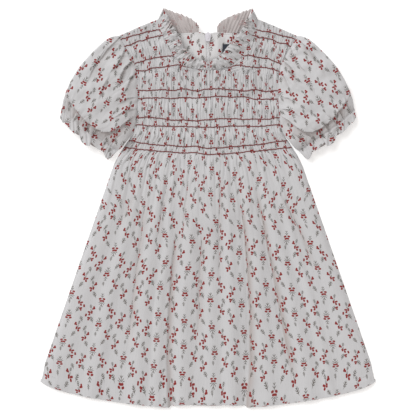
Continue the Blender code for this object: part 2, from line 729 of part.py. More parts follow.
def build_label(collection, look):
    """A small folded loop label, plain, on the right facing."""
    low_x, high_x, low_y, high_y = LABEL
    rows = []
    cloth = Cloth("neck_label")
    for thick in (0.0, LABEL_CLOTH):
        layer = []
        for x in (low_x, BACK_OFFSETS[-1], high_x):
            column = []
            for y in (low_y, 0.5 * (low_y + high_y), high_y):
                column.append((x, y, FACING_TOP + SEAM_GAP + pull_lift(x, y) + thick))
            layer.append(cloth.row(column))
        rows.append(layer)
    lower, upper = rows
    for layer in rows:
        for first, second in zip(layer, layer[1:]):
            cloth.strip(first, second)
    cloth.strip(lower[0], upper[0])
    cloth.strip(lower[-1], upper[-1])
    cloth.strip([row[0] for row in lower], [row[0] for row in upper])
    cloth.strip([row[-1] for row in lower], [row[-1] for row in upper])
    return cloth.finish(collection, look)


for old in list(bpy.data.objects):
    bpy.data.objects.remove(old)

dress = bpy.data.collections.new("smocked_dress")
cutters = bpy.data.collections.new("helpers")
bpy.context.scene.collection.children.link(dress)
bpy.context.scene.collection.children.link(cutters)

cotton = material("cotton", COTTON)
cotton_inside = material("cotton_wrong_side", COTTON_WRONG_SIDE)
zip_pale = material("zip_pale", ZIP_PALE, roughness=0.45)
label_navy = material("label_navy", LABEL_NAVY, roughness=0.6)

build_front(dress, cotton)
for side in (-1, 1):
    build_back(dress, cotton, side)
    build_facing(dress, cotton, side)
    build_sleeve(dress, cotton, side)
    build_frill(
        dress,
        cotton_inside,
        side,
        "neck_frill_back",
        frill_back_ends,
        len(FRILL_BACK),
        FRILL_BACK_WAVES,
        0.9,
    )
    build_frill(
        dress,
        cotton,
        side,
        "neck_frill_front",
        frill_front_ends,
        len(FRILL_FRONT),
        FRILL_FRONT_WAVES,
        1.2,
    )
    build_zip_tape(dress, zip_pale, side)
build_slider(dress, cutters, zip_pale)
build_pull_tab(dress, zip_pale)
build_label(dress, label_navy)
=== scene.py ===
import math

import bmesh
import bpy
import numpy as np
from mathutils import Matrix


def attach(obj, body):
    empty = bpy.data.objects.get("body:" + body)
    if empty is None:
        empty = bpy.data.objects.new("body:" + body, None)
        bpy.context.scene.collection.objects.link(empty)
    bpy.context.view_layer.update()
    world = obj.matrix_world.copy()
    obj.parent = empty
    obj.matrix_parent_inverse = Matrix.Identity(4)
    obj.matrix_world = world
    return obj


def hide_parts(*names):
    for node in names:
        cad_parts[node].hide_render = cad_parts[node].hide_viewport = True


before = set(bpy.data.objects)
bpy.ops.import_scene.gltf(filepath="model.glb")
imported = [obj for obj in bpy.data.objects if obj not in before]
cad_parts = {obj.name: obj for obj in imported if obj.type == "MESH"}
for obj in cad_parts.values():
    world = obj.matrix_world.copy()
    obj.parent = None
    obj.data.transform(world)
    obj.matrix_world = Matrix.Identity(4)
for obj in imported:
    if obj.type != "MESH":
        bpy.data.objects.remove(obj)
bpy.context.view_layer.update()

# Printed cotton.
# The real cloth is a light crinkled cotton, woven pale grey and printed with small berry sprigs.
# Red berries, grey leaves and thin stems repeat in columns; the wrong side shows them faintly.
MM = 0.001
PRINT_COLUMN, PRINT_ROW = 14.0, 35.5  # one motif's room, in millimetres of flat cloth
BLOCK_DROP, COLUMN_DROP = 10.4, 2.6  # steps down, within each three columns and at every column
MOTIF_FIT = (1.09, 1.06, 1.0)  # above 1 a motif is smaller in its room
PRINT_FIT = 0.93  # below 1 the whole print is larger
BERRY_RADIUS = 1.38
BERRY_EDGE, LEAF_EDGE = 5.0, 2.0  # how sharply the print ends
FINE_PLEAT = 4.5  # flat cloth in each of the fine gathers
WEAVE = 14.0  # turn of the threads' ripple in a millimetre
CLOTH_COLOUR = (0.582, 0.577, 0.588, 1)
WRONG_SIDE_COLOUR = (0.57, 0.52, 0.515, 1)
# The facing's ground is painted light: set lighter than the cloth to undo the shade in the neck's hollow.
FACING_PAINTED_LIGHT = (0.69, 0.68, 0.685, 1)
PAINTED_FOLD_SHADE = (0.74, 0.665, 0.63, 1)  # painted shade: the cloth made warmer and darker on the shaded side of creases and folds
BERRY_COLOUR = (0.25, 0.027, 0.025, 1)
LEAF_COLOUR = (0.102, 0.087, 0.072, 1)


class Nodes:
    """Shorthand for wiring a node tree."""

    def __init__(self, tree):
        self.tree = tree

    def sockets(self, way, **kinds):
        for name, kind in kinds.items():
            self.tree.interface.new_socket(name, in_out=way, socket_type="NodeSocket" + kind)

    def add(self, kind, ins=(), **settings):
        node = self.tree.nodes.new(kind)
        for key, value in settings.items():
            setattr(node, key, value)
        for socket, value in (ins.items() if isinstance(ins, dict) else enumerate(ins)):
            if hasattr(value, "is_output"):
                self.tree.links.new(value, node.inputs[socket])
            elif value is not None:
                node.inputs[socket].default_value = value
        return node

    def math(self, operation, a, b=None, c=None, clamp=False):
        return self.add("ShaderNodeMath", (a, b, c), operation=operation, use_clamp=clamp).outputs[0]

    def times(self, a, b, clamp=False):
        return self.math("MULTIPLY", a, b, clamp=clamp)

    def times_plus(self, a, b, c, clamp=False):
        return self.math("MULTIPLY_ADD", a, b, c, clamp)

    def vector(self, operation, a, b=None, out=0):
        return self.add("ShaderNodeVectorMath", (a, b), operation=operation).outputs[out]

    def split(self, place):
        return self.add("ShaderNodeSeparateXYZ", (place,)).outputs

    def point(self, x, y, z=0.0):
        return self.add("ShaderNodeCombineXYZ", (x, y, z)).outputs[0]

    def noise(self, place, scale, detail=2.0):
        ins = {"Vector": place, "Scale": scale, "Detail": detail}
        return self.add("ShaderNodeTexNoise", ins).outputs[0]

    def mixed(self, amount, under, over, blend="MIX"):
        ins = {0: amount, 6: under, 7: over}
        return self.add("ShaderNodeMix", ins, data_type="RGBA", blend_type=blend).outputs[2]

    def joined(self, operation, values):
        total = values[0]
        for value in values[1:]:
            total = self.math(operation, total, value)
        return total

    def shade(self, colour, height, strength, distance):
        """Lead a colour, and a bump of this height, to the shader."""
        shader = self.tree.nodes["Principled BSDF"]
        bump = self.add("ShaderNodeBump", {"Height": height, "Strength": strength, "Distance": distance})
        self.tree.links.new(colour, shader.inputs["Base Color"])
        self.tree.links.new(bump.outputs[0], shader.inputs["Normal"])

    def dots(self, place, centres):
        """Mask of round berries: 1 inside any of them."""
        gaps = [self.vector("DISTANCE", place, (x, y, 0), out=1) for x, y in centres]
        nearest = self.joined("MINIMUM", gaps)
        return self.times_plus(nearest, -BERRY_EDGE, BERRY_EDGE * BERRY_RADIUS + 0.5, clamp=True)

    def seen_from(self, place, x, y, turn, wide, long):
        """The place measured from x, y, along a direction turned by degrees, in widths and lengths."""
        ins = {"Vector": place, "Location": (x, y, 0), "Scale": (wide, long, 1)}
        ins["Rotation"] = (0, 0, math.radians(turn))
        return self.add("ShaderNodeMapping", ins, vector_type="TEXTURE").outputs[0]

    def leaves(self, place, blades):
        """Mask of slim leaves, each x, y, half length, half width, turn in degrees."""
        seen = [self.seen_from(place, x, y, turn, wide, long) for x, y, long, wide, turn in blades]
        nearest = self.joined("MINIMUM", [self.vector("LENGTH", blade, out=1) for blade in seen])
        return self.times_plus(nearest, -LEAF_EDGE, LEAF_EDGE + 0.5, clamp=True)

    def folded(self, place, flip=1.0):
        """The place with its left side laid on its right, and up and down swapped where flip is -1."""
        x, y = self.split(place)[:2]
        return self.point(self.math("ABSOLUTE", x), self.times(y, flip))

    def sprig(self, place, x, y, long, turn):
        """Mask of a small feathery sprig: a stem with three pairs of slanted leaflets."""
        blades = [(0.0, 0.0, 1.0, 0.075, 0), (0.15, 0.54, 0.27, 0.072, -34)]
        blades += [(0.24, 0.16, 0.38, 0.080, -42), (0.21, -0.30, 0.32, 0.074, -48)]
        return self.leaves(self.folded(self.seen_from(place, x, y, turn, long, long)), blades)


def berry_sprig_print():
    """Node group: flat cloth in millimetres in, berry and leaf masks out.

    Columns of blocks, each with a fan of leaves, stand between two columns of berry chains.
    """
    n = Nodes(bpy.data.node_groups.new("berry_sprig_print", "ShaderNodeTree"))
    n.sockets("INPUT", Cloth="Vector")
    n.sockets("OUTPUT", Berry="Float", Leaf="Float")
    cloth_x, cloth_y = n.split(n.add("NodeGroupInput").outputs[0])[:2]
    column = n.math("FLOOR", n.math("DIVIDE", cloth_x, PRINT_COLUMN))
    third = n.math("FLOORED_MODULO", column, 3.0)
    down = n.math("ADD", cloth_y, n.times_plus(third, BLOCK_DROP, n.times(column, COLUMN_DROP)))
    row = n.math("FLOOR", n.math("DIVIDE", down, PRINT_ROW))
    odd = n.math("FLOORED_MODULO", row, 2.0)
    x = n.math("SUBTRACT", cloth_x, n.times_plus(column, PRINT_COLUMN, PRINT_COLUMN / 2))
    y = n.math("SUBTRACT", down, n.times_plus(row, PRINT_ROW, PRINT_ROW / 2))
    is_block = n.math("COMPARE", third, 0.0, 0.1)
    is_chain = n.math("SUBTRACT", 1.0, is_block)
    mirror = n.times_plus(n.math("COMPARE", third, 2.0, 0.1), -2.0, 1.0)
    place = n.vector("MULTIPLY", n.point(n.times(x, mirror), y), MOTIF_FIT)

    block_place = n.folded(place, n.times_plus(odd, -2.0, 1.0))
    block = n.dots(block_place, [(0.9, 1.6), (2.3, 1.9), (2.2, -1.5), (3.5, -1.1)])
    fan = [(0.0, 7.4, 4.2, 0.42, 0), (2.1, 6.0, 2.7, 0.40, -44), (3.3, 4.4, 2.0, 0.38, -72)]
    fan += [(1.3, 9.4, 1.9, 0.36, -32)]
    tail = [(0.0, -5.6, 4.4, 0.32, 0), (1.3, -5.2, 1.9, 0.38, 42), (1.0, -8.3, 1.5, 0.34, 40)]
    block_leaf = n.math("MAXIMUM", n.leaves(block_place, fan + tail), n.sprig(place, -1.5, -14.2, 3.8, 8))

    chain_place = n.vector("ADD", place, n.point(n.times(odd, 2.0), n.times(odd, -1.5)))
    heart = [(-3.7, 3.9), (-1.9, 3.4), (-3.0, 5.9)]
    cluster = [(-0.5, -1.1), (-0.4, -3.0), (2.5, -2.2), (4.2, -1.8), (2.6, -5.0), (3.0, -5.9)]
    second = n.dots(place, [(5.4, -4.4), (5.7, -6.2), (0.2, -9.4), (1.9, -9.0), (1.3, -11.9)])
    chain = n.math("MAXIMUM", n.dots(chain_place, heart + cluster), n.times(second, odd))
    stems = n.leaves(chain_place, [(-0.4, 1.4, 3.2, 0.28, 24), (1.2, 0.9, 2.1, 0.36, -14)])
    sprigs = [n.sprig(chain_place, 1.6, 6.2, 4.0, -14), n.sprig(place, -3.6, -11.4, 5.6, -26)]
    even_sprig = n.times(n.sprig(place, 4.0, 12.2, 5.2, 22), n.math("SUBTRACT", 1.0, odd))
    chain_leaf = n.joined("MAXIMUM", [stems, *sprigs, even_sprig])
    berry = n.math("MAXIMUM", n.times(block, is_block), n.times(chain, is_chain))
    leaf = n.math("MAXIMUM", n.times(block_leaf, is_block), n.times(chain_leaf, is_chain))
    n.add("NodeGroupOutput", (berry, leaf))
    return n.tree


SPRIG_PRINT = berry_sprig_print()


def material(name, values):
    """A material whose shader has these values."""
    made = bpy.data.materials.new(name)
    made.use_nodes = True
    for socket, value in values.items():
        made.node_tree.nodes["Principled BSDF"].inputs[socket].default_value = value
    return made


def cotton(name, ground, strength):
    """The printed cotton, read in flat cloth metres from the piece's own UV map."""
    dry = {"Roughness": 0.9, "Sheen Weight": 0.12, "Sheen Roughness": 0.5, "Specular IOR Level": 0.2}
    made = material(name, dry)
    n = Nodes(made.node_tree)
    uv = n.add("ShaderNodeUVMap", uv_map="cloth").outputs[0]
    cloth = n.vector("MULTIPLY", uv, (1 / MM,) * 3)
    across, along = n.split(cloth)[:2]
    stripe = n.noise(n.vector("MULTIPLY", cloth, (0.9, 0.03, 1.0)), 1.0, 3.0)
    tone = n.times(n.times_plus(stripe, 0.16, 0.92), n.times_plus(n.noise(cloth, 0.035), 0.10, 0.95))
    # Painted shade: the fold mark tints the cloth warmer and darker on the shaded side of its creases.
    painted_shade = n.add("ShaderNodeAttribute", attribute_name="fold").outputs["Fac"]
    base = n.mixed(painted_shade, n.mixed(1.0, ground, tone, "MULTIPLY"), PAINTED_FOLD_SHADE, "MULTIPLY")
    printed_cloth = n.vector("MULTIPLY", cloth, (PRINT_FIT,) * 3)
    berry, leaf = n.add("ShaderNodeGroup", (printed_cloth,), node_tree=SPRIG_PRINT).outputs
    fade = n.times_plus(n.noise(cloth, 1.3), 0.4, 0.8)
    leaf = n.times(n.times(leaf, 0.95 * strength), fade, clamp=True)
    berry = n.times(n.times(berry, strength), fade, clamp=True)
    colour = n.mixed(berry, n.mixed(leaf, base, LEAF_COLOUR), BERRY_COLOUR)
    weave = n.times(n.math("SINE", n.times(across, WEAVE)), n.math("SINE", n.times(along, WEAVE)))
    crinkle = n.noise(n.vector("MULTIPLY", cloth, (0.75, 0.07, 1.0)), 1.0)
    drawn = n.add("ShaderNodeAttribute", attribute_name="gather").outputs["Fac"]
    pleat = n.math("DIVIDE", n.times_plus(n.noise(cloth, 0.12), 5.0, across), FINE_PLEAT)
    pleat = n.times(n.math("POWER", n.times(n.math("PINGPONG", pleat, 0.5), 2.0), 0.6), drawn)
    relief = n.times_plus(weave, 0.035, n.times(crinkle, 0.5))
    n.shade(colour, n.times_plus(pleat, 1.6, relief), 0.55, 0.6 * MM)
    return made


right_side = cotton("printed_cotton", CLOTH_COLOUR, 1.0)
wrong_side = cotton("cotton_wrong_side", WRONG_SIDE_COLOUR, 0.3)
BOTH_SIDES = [right_side, wrong_side]
# The facing's own copy of the cotton, with its ground painted lighter against the shade of the neck's
# hollow.
facing_cotton_painted_light = cotton("cotton_facing_painted_light", FACING_PAINTED_LIGHT, 1.0)


def smooth(value):
    value = np.clip(value, 0.0, 1.0)
    return value * value * (3.0 - 2.0 * value)


def bell(value):
    return np.exp(-(value**2))


def inside(along, sharp):
    """0 at both ends of a run from 0 to 1, and 1 between them."""
    return smooth(along * sharp) * smooth((1 - along) * sharp)


def soft_noise(a, b, seed=0):
    """Even noise from -1 to 1 on a plane, the same each run."""
    a, b = np.broadcast_arrays(np.asarray(a, float), np.asarray(b, float))
    ia, ib = np.floor(a), np.floor(b)
    fa, fb = smooth(a - ia), smooth(b - ib)

    def corner(i, j):
        value = np.sin(i * 127.1 + j * 311.7 + seed * 74.7) * 43758.5453
        return 2.0 * (value - np.floor(value)) - 1.0

    low = corner(ia, ib) * (1 - fa) + corner(ia + 1, ib) * fa
    high = corner(ia, ib + 1) * (1 - fa) + corner(ia + 1, ib + 1) * fa
    return low * (1 - fb) + high * fb


def placed(name, data):
    """An object for a mesh, lamp or camera, put in the scene."""
    made = bpy.data.objects.new(name, data)
    bpy.context.scene.collection.objects.link(made)
    return made


def merge(data, outward=False):
    """Merge a mesh's points that lie in one place, and turn its faces outward where asked."""
    work = bmesh.new()
    work.from_mesh(data)
    bmesh.ops.remove_doubles(work, verts=work.verts, dist=2e-6)
    if outward:
        bmesh.ops.recalc_face_normals(work, faces=work.faces)
    work.to_mesh(data)
    work.free()


def crossed(down, across):
    """Two rows of numbers as full grids, the first one running down."""
    return np.meshgrid(down, across, indexing="ij")


def sheet(name, points, cloth, looks, thick, closed=False, gather=None, fold=None, up=True):
    """Grids of points, in millimetres, made one wall of cloth whose UV map is the flat cloth.

    looks has the outer side first. gather and fold are marks that the cotton's material reads; fold is
    painted shade on the shaded side of creases and folds.
    """
    grids, cloths = ([given] if isinstance(given, np.ndarray) else given for given in (points, cloth))
    faces, start = [], 0
    for rows, columns in (grid.shape[:2] for grid in grids):
        index = start + np.arange(rows * columns).reshape(rows, columns)
        corners = [index[:-1, :-1], index[1:, :-1], index[1:, 1:], index[:-1, 1:]]
        faces.append(np.stack(corners, -1).reshape(-1, 4)[:, :: 1 if up else -1])
        start += rows * columns
    verts = np.concatenate([grid.reshape(-1, 3) * MM for grid in grids])
    uvs = np.concatenate([flat.reshape(-1, 2) * MM for flat in cloths])
    data = bpy.data.meshes.new(name)
    data.from_pydata(verts.tolist(), [], np.concatenate(faces).tolist())
    layer = data.uv_layers.new(name="cloth")
    corner_vert = np.empty(len(data.loops), np.int32)
    data.loops.foreach_get("vertex_index", corner_vert)
    layer.data.foreach_set("uv", uvs[corner_vert].astype(np.float32).ravel())
    for look in looks:
        data.materials.append(look)
    made = placed(name, data)
    for word, values in (("gather", gather), ("fold", fold)):
        if values is not None:
            marks = data.attributes.new(word, "FLOAT", "POINT")
            marks.data.foreach_set("value", np.concatenate([v.ravel() for v in values]).astype(np.float32))
    if closed or len(grids) > 1:
        merge(data)
    data.shade_smooth()
    wall = made.modifiers.new("cloth", "SOLIDIFY")
    wall.thickness = thick * MM
    wall.offset = -1.0
    wall.use_rim = True
    wall.material_offset = len(looks) - 1
    wall.material_offset_rim = 0
    return made


# The front.
# One panel of cotton from shoulder to hem, gathered across the chest by ten rows of red thread.
# Below the last row its fullness opens into soft folds; it is sewn to sleeves, frill and back.
FRONT_ROWS = np.array([
    # centre_x, centre_y, side_x, side_y, gather, puff, fold
    (72, 273, 128.6, 249, 1.2, 0, 0),
    (69.6, 258.7, 126.5, 244, 1.1, 0, 0),
    (64.4, 249.7, 121, 233.5, 1.1, 0, 0),
    (57, 235, 112.6, 220, 2.1, 1.5, 0),
    (49.6, 221.1, 107.2, 208, 1.1, 0, 0),
    (31.9, 206, 104.6, 197.5, 1.1, 0, 0),
    (0, 198.7, 103.4, 187, 2.1, 1.3, 0),
    (0, 170.8, 102.9, 169.7, 1.1, 0, 0),
    (0, 160.1, 102.9, 158, 1.1, 0, 0),
    (0, 144, 103.4, 144, 2.2, 1.6, 0),
    (0, 127.9, 104.2, 130.5, 1.1, 0, 0),
    (0, 117, 105, 120.4, 1.1, 0, 0),
    (0, 102.5, 108, 108.5, 2.2, 1.6, 0),
    (0, 87.9, 115.5, 97.3, 1.1, 0.1, 0),
    (0, 78.7, 122, 87.7, 1.1, 0.1, 0.05),
    (0, 70, 129.5, 76, 1.3, 1, 0.15),
    (0, 54, 137, 61, 0.8, 1, 0.4),
    (0, 26, 148, 29, 0.35, 0.8, 0.75),
    (0, -18, 163.3, -15, 0.1, 0.5, 0.95),
    (0, -75, 182.8, -71, 0, 0.3, 1),
    (0, -137, 202.6, -128, 0, 0.2, 1),
    (0, -197, 221.3, -182, 0, 0.2, 1),
    (0, -249, 235.8, -224, 0, 0.2, 1),
    (0, -290.45, 243.6, -248.5, 0, 0.2, 1),
])
V_POINT = 6  # row at the point of the V
LAST_ROW = len(FRONT_ROWS) - 1
STITCH_ROWS = [1, 2, 4, 5, 7, 8, 10, 11, 13, 14]
HALF_GATHERS = 24
GATHERS_END = 16  # the row where the gathers have opened into the skirt
CHEST_HALF = 103.4
CLOTH_WALL = 1.3
COTTON_THICK, FINE_COTTON = 0.7, 0.6  # of the body, and of sleeves and facings
SIDES = ((-1, "left"), (1, "right"))
ROW_BOW, SHOULDER_BOW = 1.8, 1.05
HEM_BOW, HEM_CORNER, HEM_LEVEL, HEM_MIDDLE = 5.6e-4, 7, 5.4, 55
HEM_STITCHED, HEM_TURNED_UP = 14.2, 14.8  # heights of the stitches and of the raw edge inside
FOLD_SHARE = 0.9  # pressed folds stand lower than the solid's
SKIRT_FOLDS = [
    # at_waist, at_hem, height, half_width
    (-0.86, -0.90, 1.6, 0.085),
    (-0.70, -0.70, 2.6, 0.080),
    (-0.47, -0.44, 2.9, 0.085),
    (-0.34, -0.33, 2.1, 0.050),
    (-0.15, -0.165, 3.2, 0.085),
    (0.03, 0.02, 2.2, 0.070),
    (0.18, 0.145, 3.2, 0.075),
    (0.39, 0.36, 2.7, 0.085),
    (0.58, 0.61, 3, 0.080),
    (0.70, 0.74, 2.3, 0.050),
    (0.88, 0.91, 1.6, 0.080),
]
# Sharp creases between the folds. share: place across, at the crease's top, middle and end.
SKIRT_CREASES = [
    # top_y, low_y, share_top, share_middle, share_end, depth, left_width, right_width
    (35, -40, -0.68, -0.74, -0.80, 1.8, 0.030, 0.010),
    (18, -215, -0.59, -0.545, -0.51, 1.6, 0.030, 0.010),
    (-30, -292, -0.275, -0.266, -0.228, 2, 0.008, 0.030),
    (-25, -215, -0.05, -0.06, -0.075, 1.4, 0.020, 0.010),
    (15, -292, 0.305, 0.297, 0.228, 2.6, 0.030, 0.007),
    (35, -265, 0.47, 0.50, 0.52, 2.4, 0.030, 0.007),
    (32, -105, 0.66, 0.785, 0.81, 1.7, 0.025, 0.010),
    (60, -120, 0.14, 0.10, 0.085, 0.9, 0.015, 0.010),
    (60, -60, -0.20, -0.21, -0.215, 0.9, 0.010, 0.015),
    (50, -70, -0.40, -0.42, -0.42, 0.9, 0.015, 0.010),
]


def row_bow(row):
    """How late a row turns from the level of the centre to that of the side."""
    return SHOULDER_BOW + (ROW_BOW - SHOULDER_BOW) * smooth(row / V_POINT)


def plateau(x, y, half_width, low_y, fall):
    return smooth((half_width + fall - np.abs(x)) / fall) * smooth((y - low_y + fall) / fall)


def pull_lift(x, y):
    """How far the back stands off the ground over the zip's pull tab."""
    return 2.6 * plateau(x, y, 12.5, 220, 14)


def front_floor(x, y):
    """Underside of the front, where it lies on back, facings and zip."""
    facing = 2.9 * plateau(x, y, 66, 169, 9)
    over_zip = 2.2 * plateau(x, y, 14, -20, 14)
    return 1.7 + np.maximum(facing, over_zip) + pull_lift(x, y)


def hem_y(x, half_width):
    curve = HEM_BOW * x * x + HEM_CORNER * (np.abs(x) / half_width) ** 16
    middle = smooth((HEM_MIDDLE + 1.5 - np.abs(x)) / 3)
    return FRONT_ROWS[-1, 1] + curve * (1 - middle) + HEM_LEVEL * middle


def skirt_relief(share, y):
    """Height of the skirt's folds and creases, the cloth that creases take up, and painted shade on the
    creases' shaded side.
    """
    down = smooth((78 - y) / 366)
    folds = np.zeros_like(share)
    for at_waist, at_hem, height, half_width in SKIRT_FOLDS:
        middle = at_waist + (at_hem - at_waist) * down + 0.012 * soft_noise(y / 70, at_waist * 9, 5)
        reach = np.clip(np.abs(share - middle) / half_width, 0, 1)
        folds = np.maximum(folds, height * (0.5 + 0.5 * np.cos(np.pi * reach)))
    folds *= FOLD_SHARE * (0.75 + 0.25 * down)
    taken_up, painted_shade = np.zeros_like(share), np.zeros_like(share)
    for top, low, at_top, at_middle, at_end, depth, left, right in SKIRT_CREASES:
        t = np.clip((top - y) / (top - low), 0, 1)
        middle = at_top * (1 - t) * (1 - 2 * t) + at_middle * 4 * t * (1 - t) + at_end * t * (2 * t - 1)
        off = share - middle - 0.004 * soft_noise(y / 22, at_top * 20, 9)
        width = np.where(off < 0, left, right)
        fade = smooth((top - y) / 35) * (1 if low < -280 else smooth((y - low) / 60))
        folds -= 1.8 * depth * fade * np.exp(-np.abs(off) / width)
        taken_up += fade * np.tanh(off / 0.006)
        # painted shade along each crease, reaching further on its shaded right side
        painted_shade += 0.36 * depth * fade * bell(off / np.where(off < 0, 0.008, 0.026))
    return folds, taken_up, np.clip(painted_shade, 0, 1)


# Flat cloth that each gather and each sharp crease hides, and how far fine gathers show, row by row
HIDDEN = np.array([
    # row, in_gather, in_crease, fine
    (0, 3, 0, 0.9),
    (12, 3, 0, 0.9),
    (14, 2.8, 0, 0.9),
    (15, 2.4, 1.5, 0.5),
    (16, 1.9, 3.6, 0.3),
    (17, 1.2, 4.8, 0.15),
    (18, 0.6, 5.2, 0.05),
    (19, 0.2, 4.8, 0),
    (20, 0, 4, 0),
    (21, 0, 2.7, 0),
    (22, 0, 1.2, 0),
    (23, 0, 0.5, 0),
])


def front_row(row, *columns):
    """Columns of FRONT_ROWS, read between its rows."""
    return [np.interp(row, np.arange(len(FRONT_ROWS)), FRONT_ROWS[:, column]) for column in columns]


def band(row):
    """1 on the stitch rows and 0 in the middle of the wide bands of puffed cloth between them."""
    near = np.min([np.abs(row - stitched_row) for stitched_row in STITCH_ROWS], axis=0)
    return smooth(1 - near / 1.1)


def front_surface(share, row):
    """Points, flat cloth, fine gathers and painted fold shade of the front. row is a place in FRONT_ROWS.
    """
    share, row = np.broadcast_arrays(np.asarray(share, float), np.asarray(row, float))
    side = np.sign(share)
    away = np.abs(share)
    centre_x, centre_y, side_x, side_y, gather, puff, fold = front_row(row, *range(7))
    x = centre_x + (side_x - centre_x) * away
    y = centre_y + (side_y - centre_y) * away ** row_bow(row)
    into_hem = smooth(row - LAST_ROW + 1)
    y = y * (1 - into_hem) + hem_y(x, side_x) * into_hem
    bodice = smooth((GATHERS_END - row) / 1.5)
    y = y + bodice * 1.9 * soft_noise(share * 6, row * 0.6, 3) * smooth((1 - away) * 8) * smooth(row - 0.5)
    pinned = band(row) * bodice
    spread = np.where(row < V_POINT, CHEST_HALF + 0.45 * (side_x - CHEST_HALF), side_x)
    wander = 0.75 * soft_noise(share * 13, row * 0.5, 1) + 0.4 * soft_noise(share * 31, row * 0.9, 2)
    wander *= smooth((1 - away) * 12) * smooth((18.5 - row) / 3) * (1 - 0.5 * pinned)
    phase = HALF_GATHERS * side * x / spread + wander
    crest = np.abs(np.sin(np.pi * phase)) ** 0.85
    uneven = 0.72 + 0.62 * soft_noise(phase * 0.9, row * 0.75, 4)
    edge = smooth((1 - away) / 0.05)
    relief = crest * gather * uneven * (0.35 + 0.65 * edge) * (1 - 0.25 * pinned)
    slow = 0.5 * phase + 0.8 * soft_noise(share * 5, row * 0.45, 6)
    wide = np.abs(np.sin(np.pi * slow)) ** 0.8 * (0.6 + 0.6 * soft_noise(slow * 1.3, row * 0.7, 16))
    relief += wide * edge * bodice * (1 - pinned) * 1.5
    relief += wide * edge * 1.1 * smooth((row - 14.4) / 1) * smooth((19 - row) / 3)
    drift = 0.23 * phase + 0.9 * soft_noise(share * 3.3, row * 0.35, 17)
    drawn = smooth((row - 15) / 2) * smooth((22 - row) / 4)
    relief += 0.8 * np.abs(np.sin(np.pi * drift)) * edge * drawn
    relief += 0.55 * puff * edge * (0.8 + 0.5 * soft_noise(share * 9, row * 0.9, 7))
    hidden, creased, fine = (np.interp(row, HIDDEN[:, 0], HIDDEN[:, c]) for c in (1, 2, 3))
    skirt, taken_up, painted_shade = skirt_relief(share, y)
    skirt = skirt * fold * edge
    z = front_floor(side * x, y) + CLOTH_WALL + relief + 0.25 * puff * edge
    z += np.maximum(skirt + 1.3 * fold * edge, -1)
    lap = smooth((x - HEM_MIDDLE + 1) / 3) * smooth((HEM_MIDDLE + 26 - x) / 24)
    z += 1.6 * lap * smooth((-205 - y) / 70)
    z -= 1.5 * (1 - smooth((1 - away) / 0.03)) * smooth((row - 11.5) / 2)
    hem_gap = y - hem_y(x, side_x)
    z += 0.8 * smooth((HEM_TURNED_UP - hem_gap) / 1.2) - 0.9 * bell((hem_gap - HEM_STITCHED) / 0.9)
    z += 0.15 * smooth((24 - hem_gap) / 10) * soft_noise(share * 90, y / 9, 8)
    across = side * x + hidden * (phase + np.sin(2 * np.pi * phase) / (2 * np.pi)) + creased * taken_up
    points = np.stack([side * x, y, z], -1)
    return points, np.stack([across, centre_y], -1), fine * (0.45 + 0.55 * pinned) * edge, painted_shade * fold


FRONT_COLUMNS = 200  # steps across one half
STEPS = [4, 3, 5, 5, 4, 5, 7, 3, 5, 5, 3, 5, 5, 3, 4, 5, 6, 7, 7, 7, 7, 7, 10]  # between the rows
front_places = [row + np.arange(1, steps + 1) / steps for row, steps in enumerate(STEPS)]
front_places = np.concatenate([[0], *front_places])[:, None]
half = np.maximum(np.linspace(0, 1, FRONT_COLUMNS + 1), 1e-9)[None, :]
# The front's fold mark is painted shade on the shaded side of its creases.
points, flat, fine, painted_shade = zip(*[front_surface(share, front_places) for share in (-half[:, ::-1], half)])
front = sheet("front_panel", points, flat, BOTH_SIDES, COTTON_THICK, gather=fine, fold=painted_shade)
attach(front, "dress")
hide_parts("front")


def table_at(table, place):
    """Columns of a table read at places between its rows, on a smooth curve."""
    table = np.asarray(table, float)
    last = len(table) - 1
    place = np.clip(place, 0, last)
    index = np.minimum(place.astype(int), last - 1)
    t = (place - index)[..., None]
    rows = [table[np.clip(index + k, 0, last)] for k in (-1, 0, 1, 2)]
    weights = (
        -0.5 * t + t**2 - 0.5 * t**3,
        1 - 2.5 * t**2 + 1.5 * t**3,
        0.5 * t + 2 * t**2 - 1.5 * t**3,
        -0.5 * t**2 + 0.5 * t**3,
    )
    return np.moveaxis(sum(w * row for w, row in zip(weights, rows)), -1, 0)


def beside(x, y, path):
    """Signed distance from a path in plan, positive on its left, and the place along it."""
    points = np.array(path, float)
    best = np.full(np.shape(x), 1e9)
    signed, place = np.zeros(np.shape(x)), np.zeros(np.shape(x))
    for i, (start, end) in enumerate(zip(points, points[1:])):
        run = end - start
        t = np.clip(((x - start[0]) * run[0] + (y - start[1]) * run[1]) / (run @ run), 0, 1)
        dx, dy = x - start[0] - t * run[0], y - start[1] - t * run[1]
        gap = np.hypot(dx, dy)
        near = gap < best
        best = np.where(near, gap, best)
        signed = np.where(near, gap * np.sign(run[0] * dy - run[1] * dx), signed)
        place = np.where(near, (i + t) / (len(points) - 1), place)
    return signed, place


def crease(x, y, path, high, high_width, low, low_width):
    """A fold along a path: raised by high on its left, sunk by low on its right."""
    signed, place = beside(x, y, path)
    ends = np.sin(np.pi * np.clip(0.04 + 0.92 * place, 0, 1)) ** 0.7
    left = high * np.exp(-np.abs(signed) / high_width)
    right = -low * np.exp(-np.abs(signed) / low_width)
    return ends * np.where(signed > 0, left, right)


# The back.
# Two plain panels of the same cotton, open at the centre for a concealed zip.
# They lie face down on the ground, so the right side is underneath and the wrong side shows inside.
BACK_CENTRE = np.array([
    # row of the front at its side, centre_x, centre_y
    (1, 1.6, 252),
    (2, 1.6, 243.2),
    (3, 0.3, 238),
    (4, 0.3, 220),
    (6, 0.3, 200),
    (7, 0.3, 176),
    (9, 0.3, 144),
    (12, 0.3, 102.5),
    (14, 0.3, 78.7),
    (16, 0.3, 54),
    (17, 0.3, 26),
    (19, 0.3, -75),
    (21, 0.3, -195),
    (22, 0.3, -245),
    (23, 0.3, -285.3),
])

# The neckline and shoulder of the back, from the zip out
BACK_TOP = np.array(
    [(1.6, 252), (9.6, 254), (46.5, 254.2), (53, 258.4), (61, 266), (71, 272), (128.6, 248.4)]
)


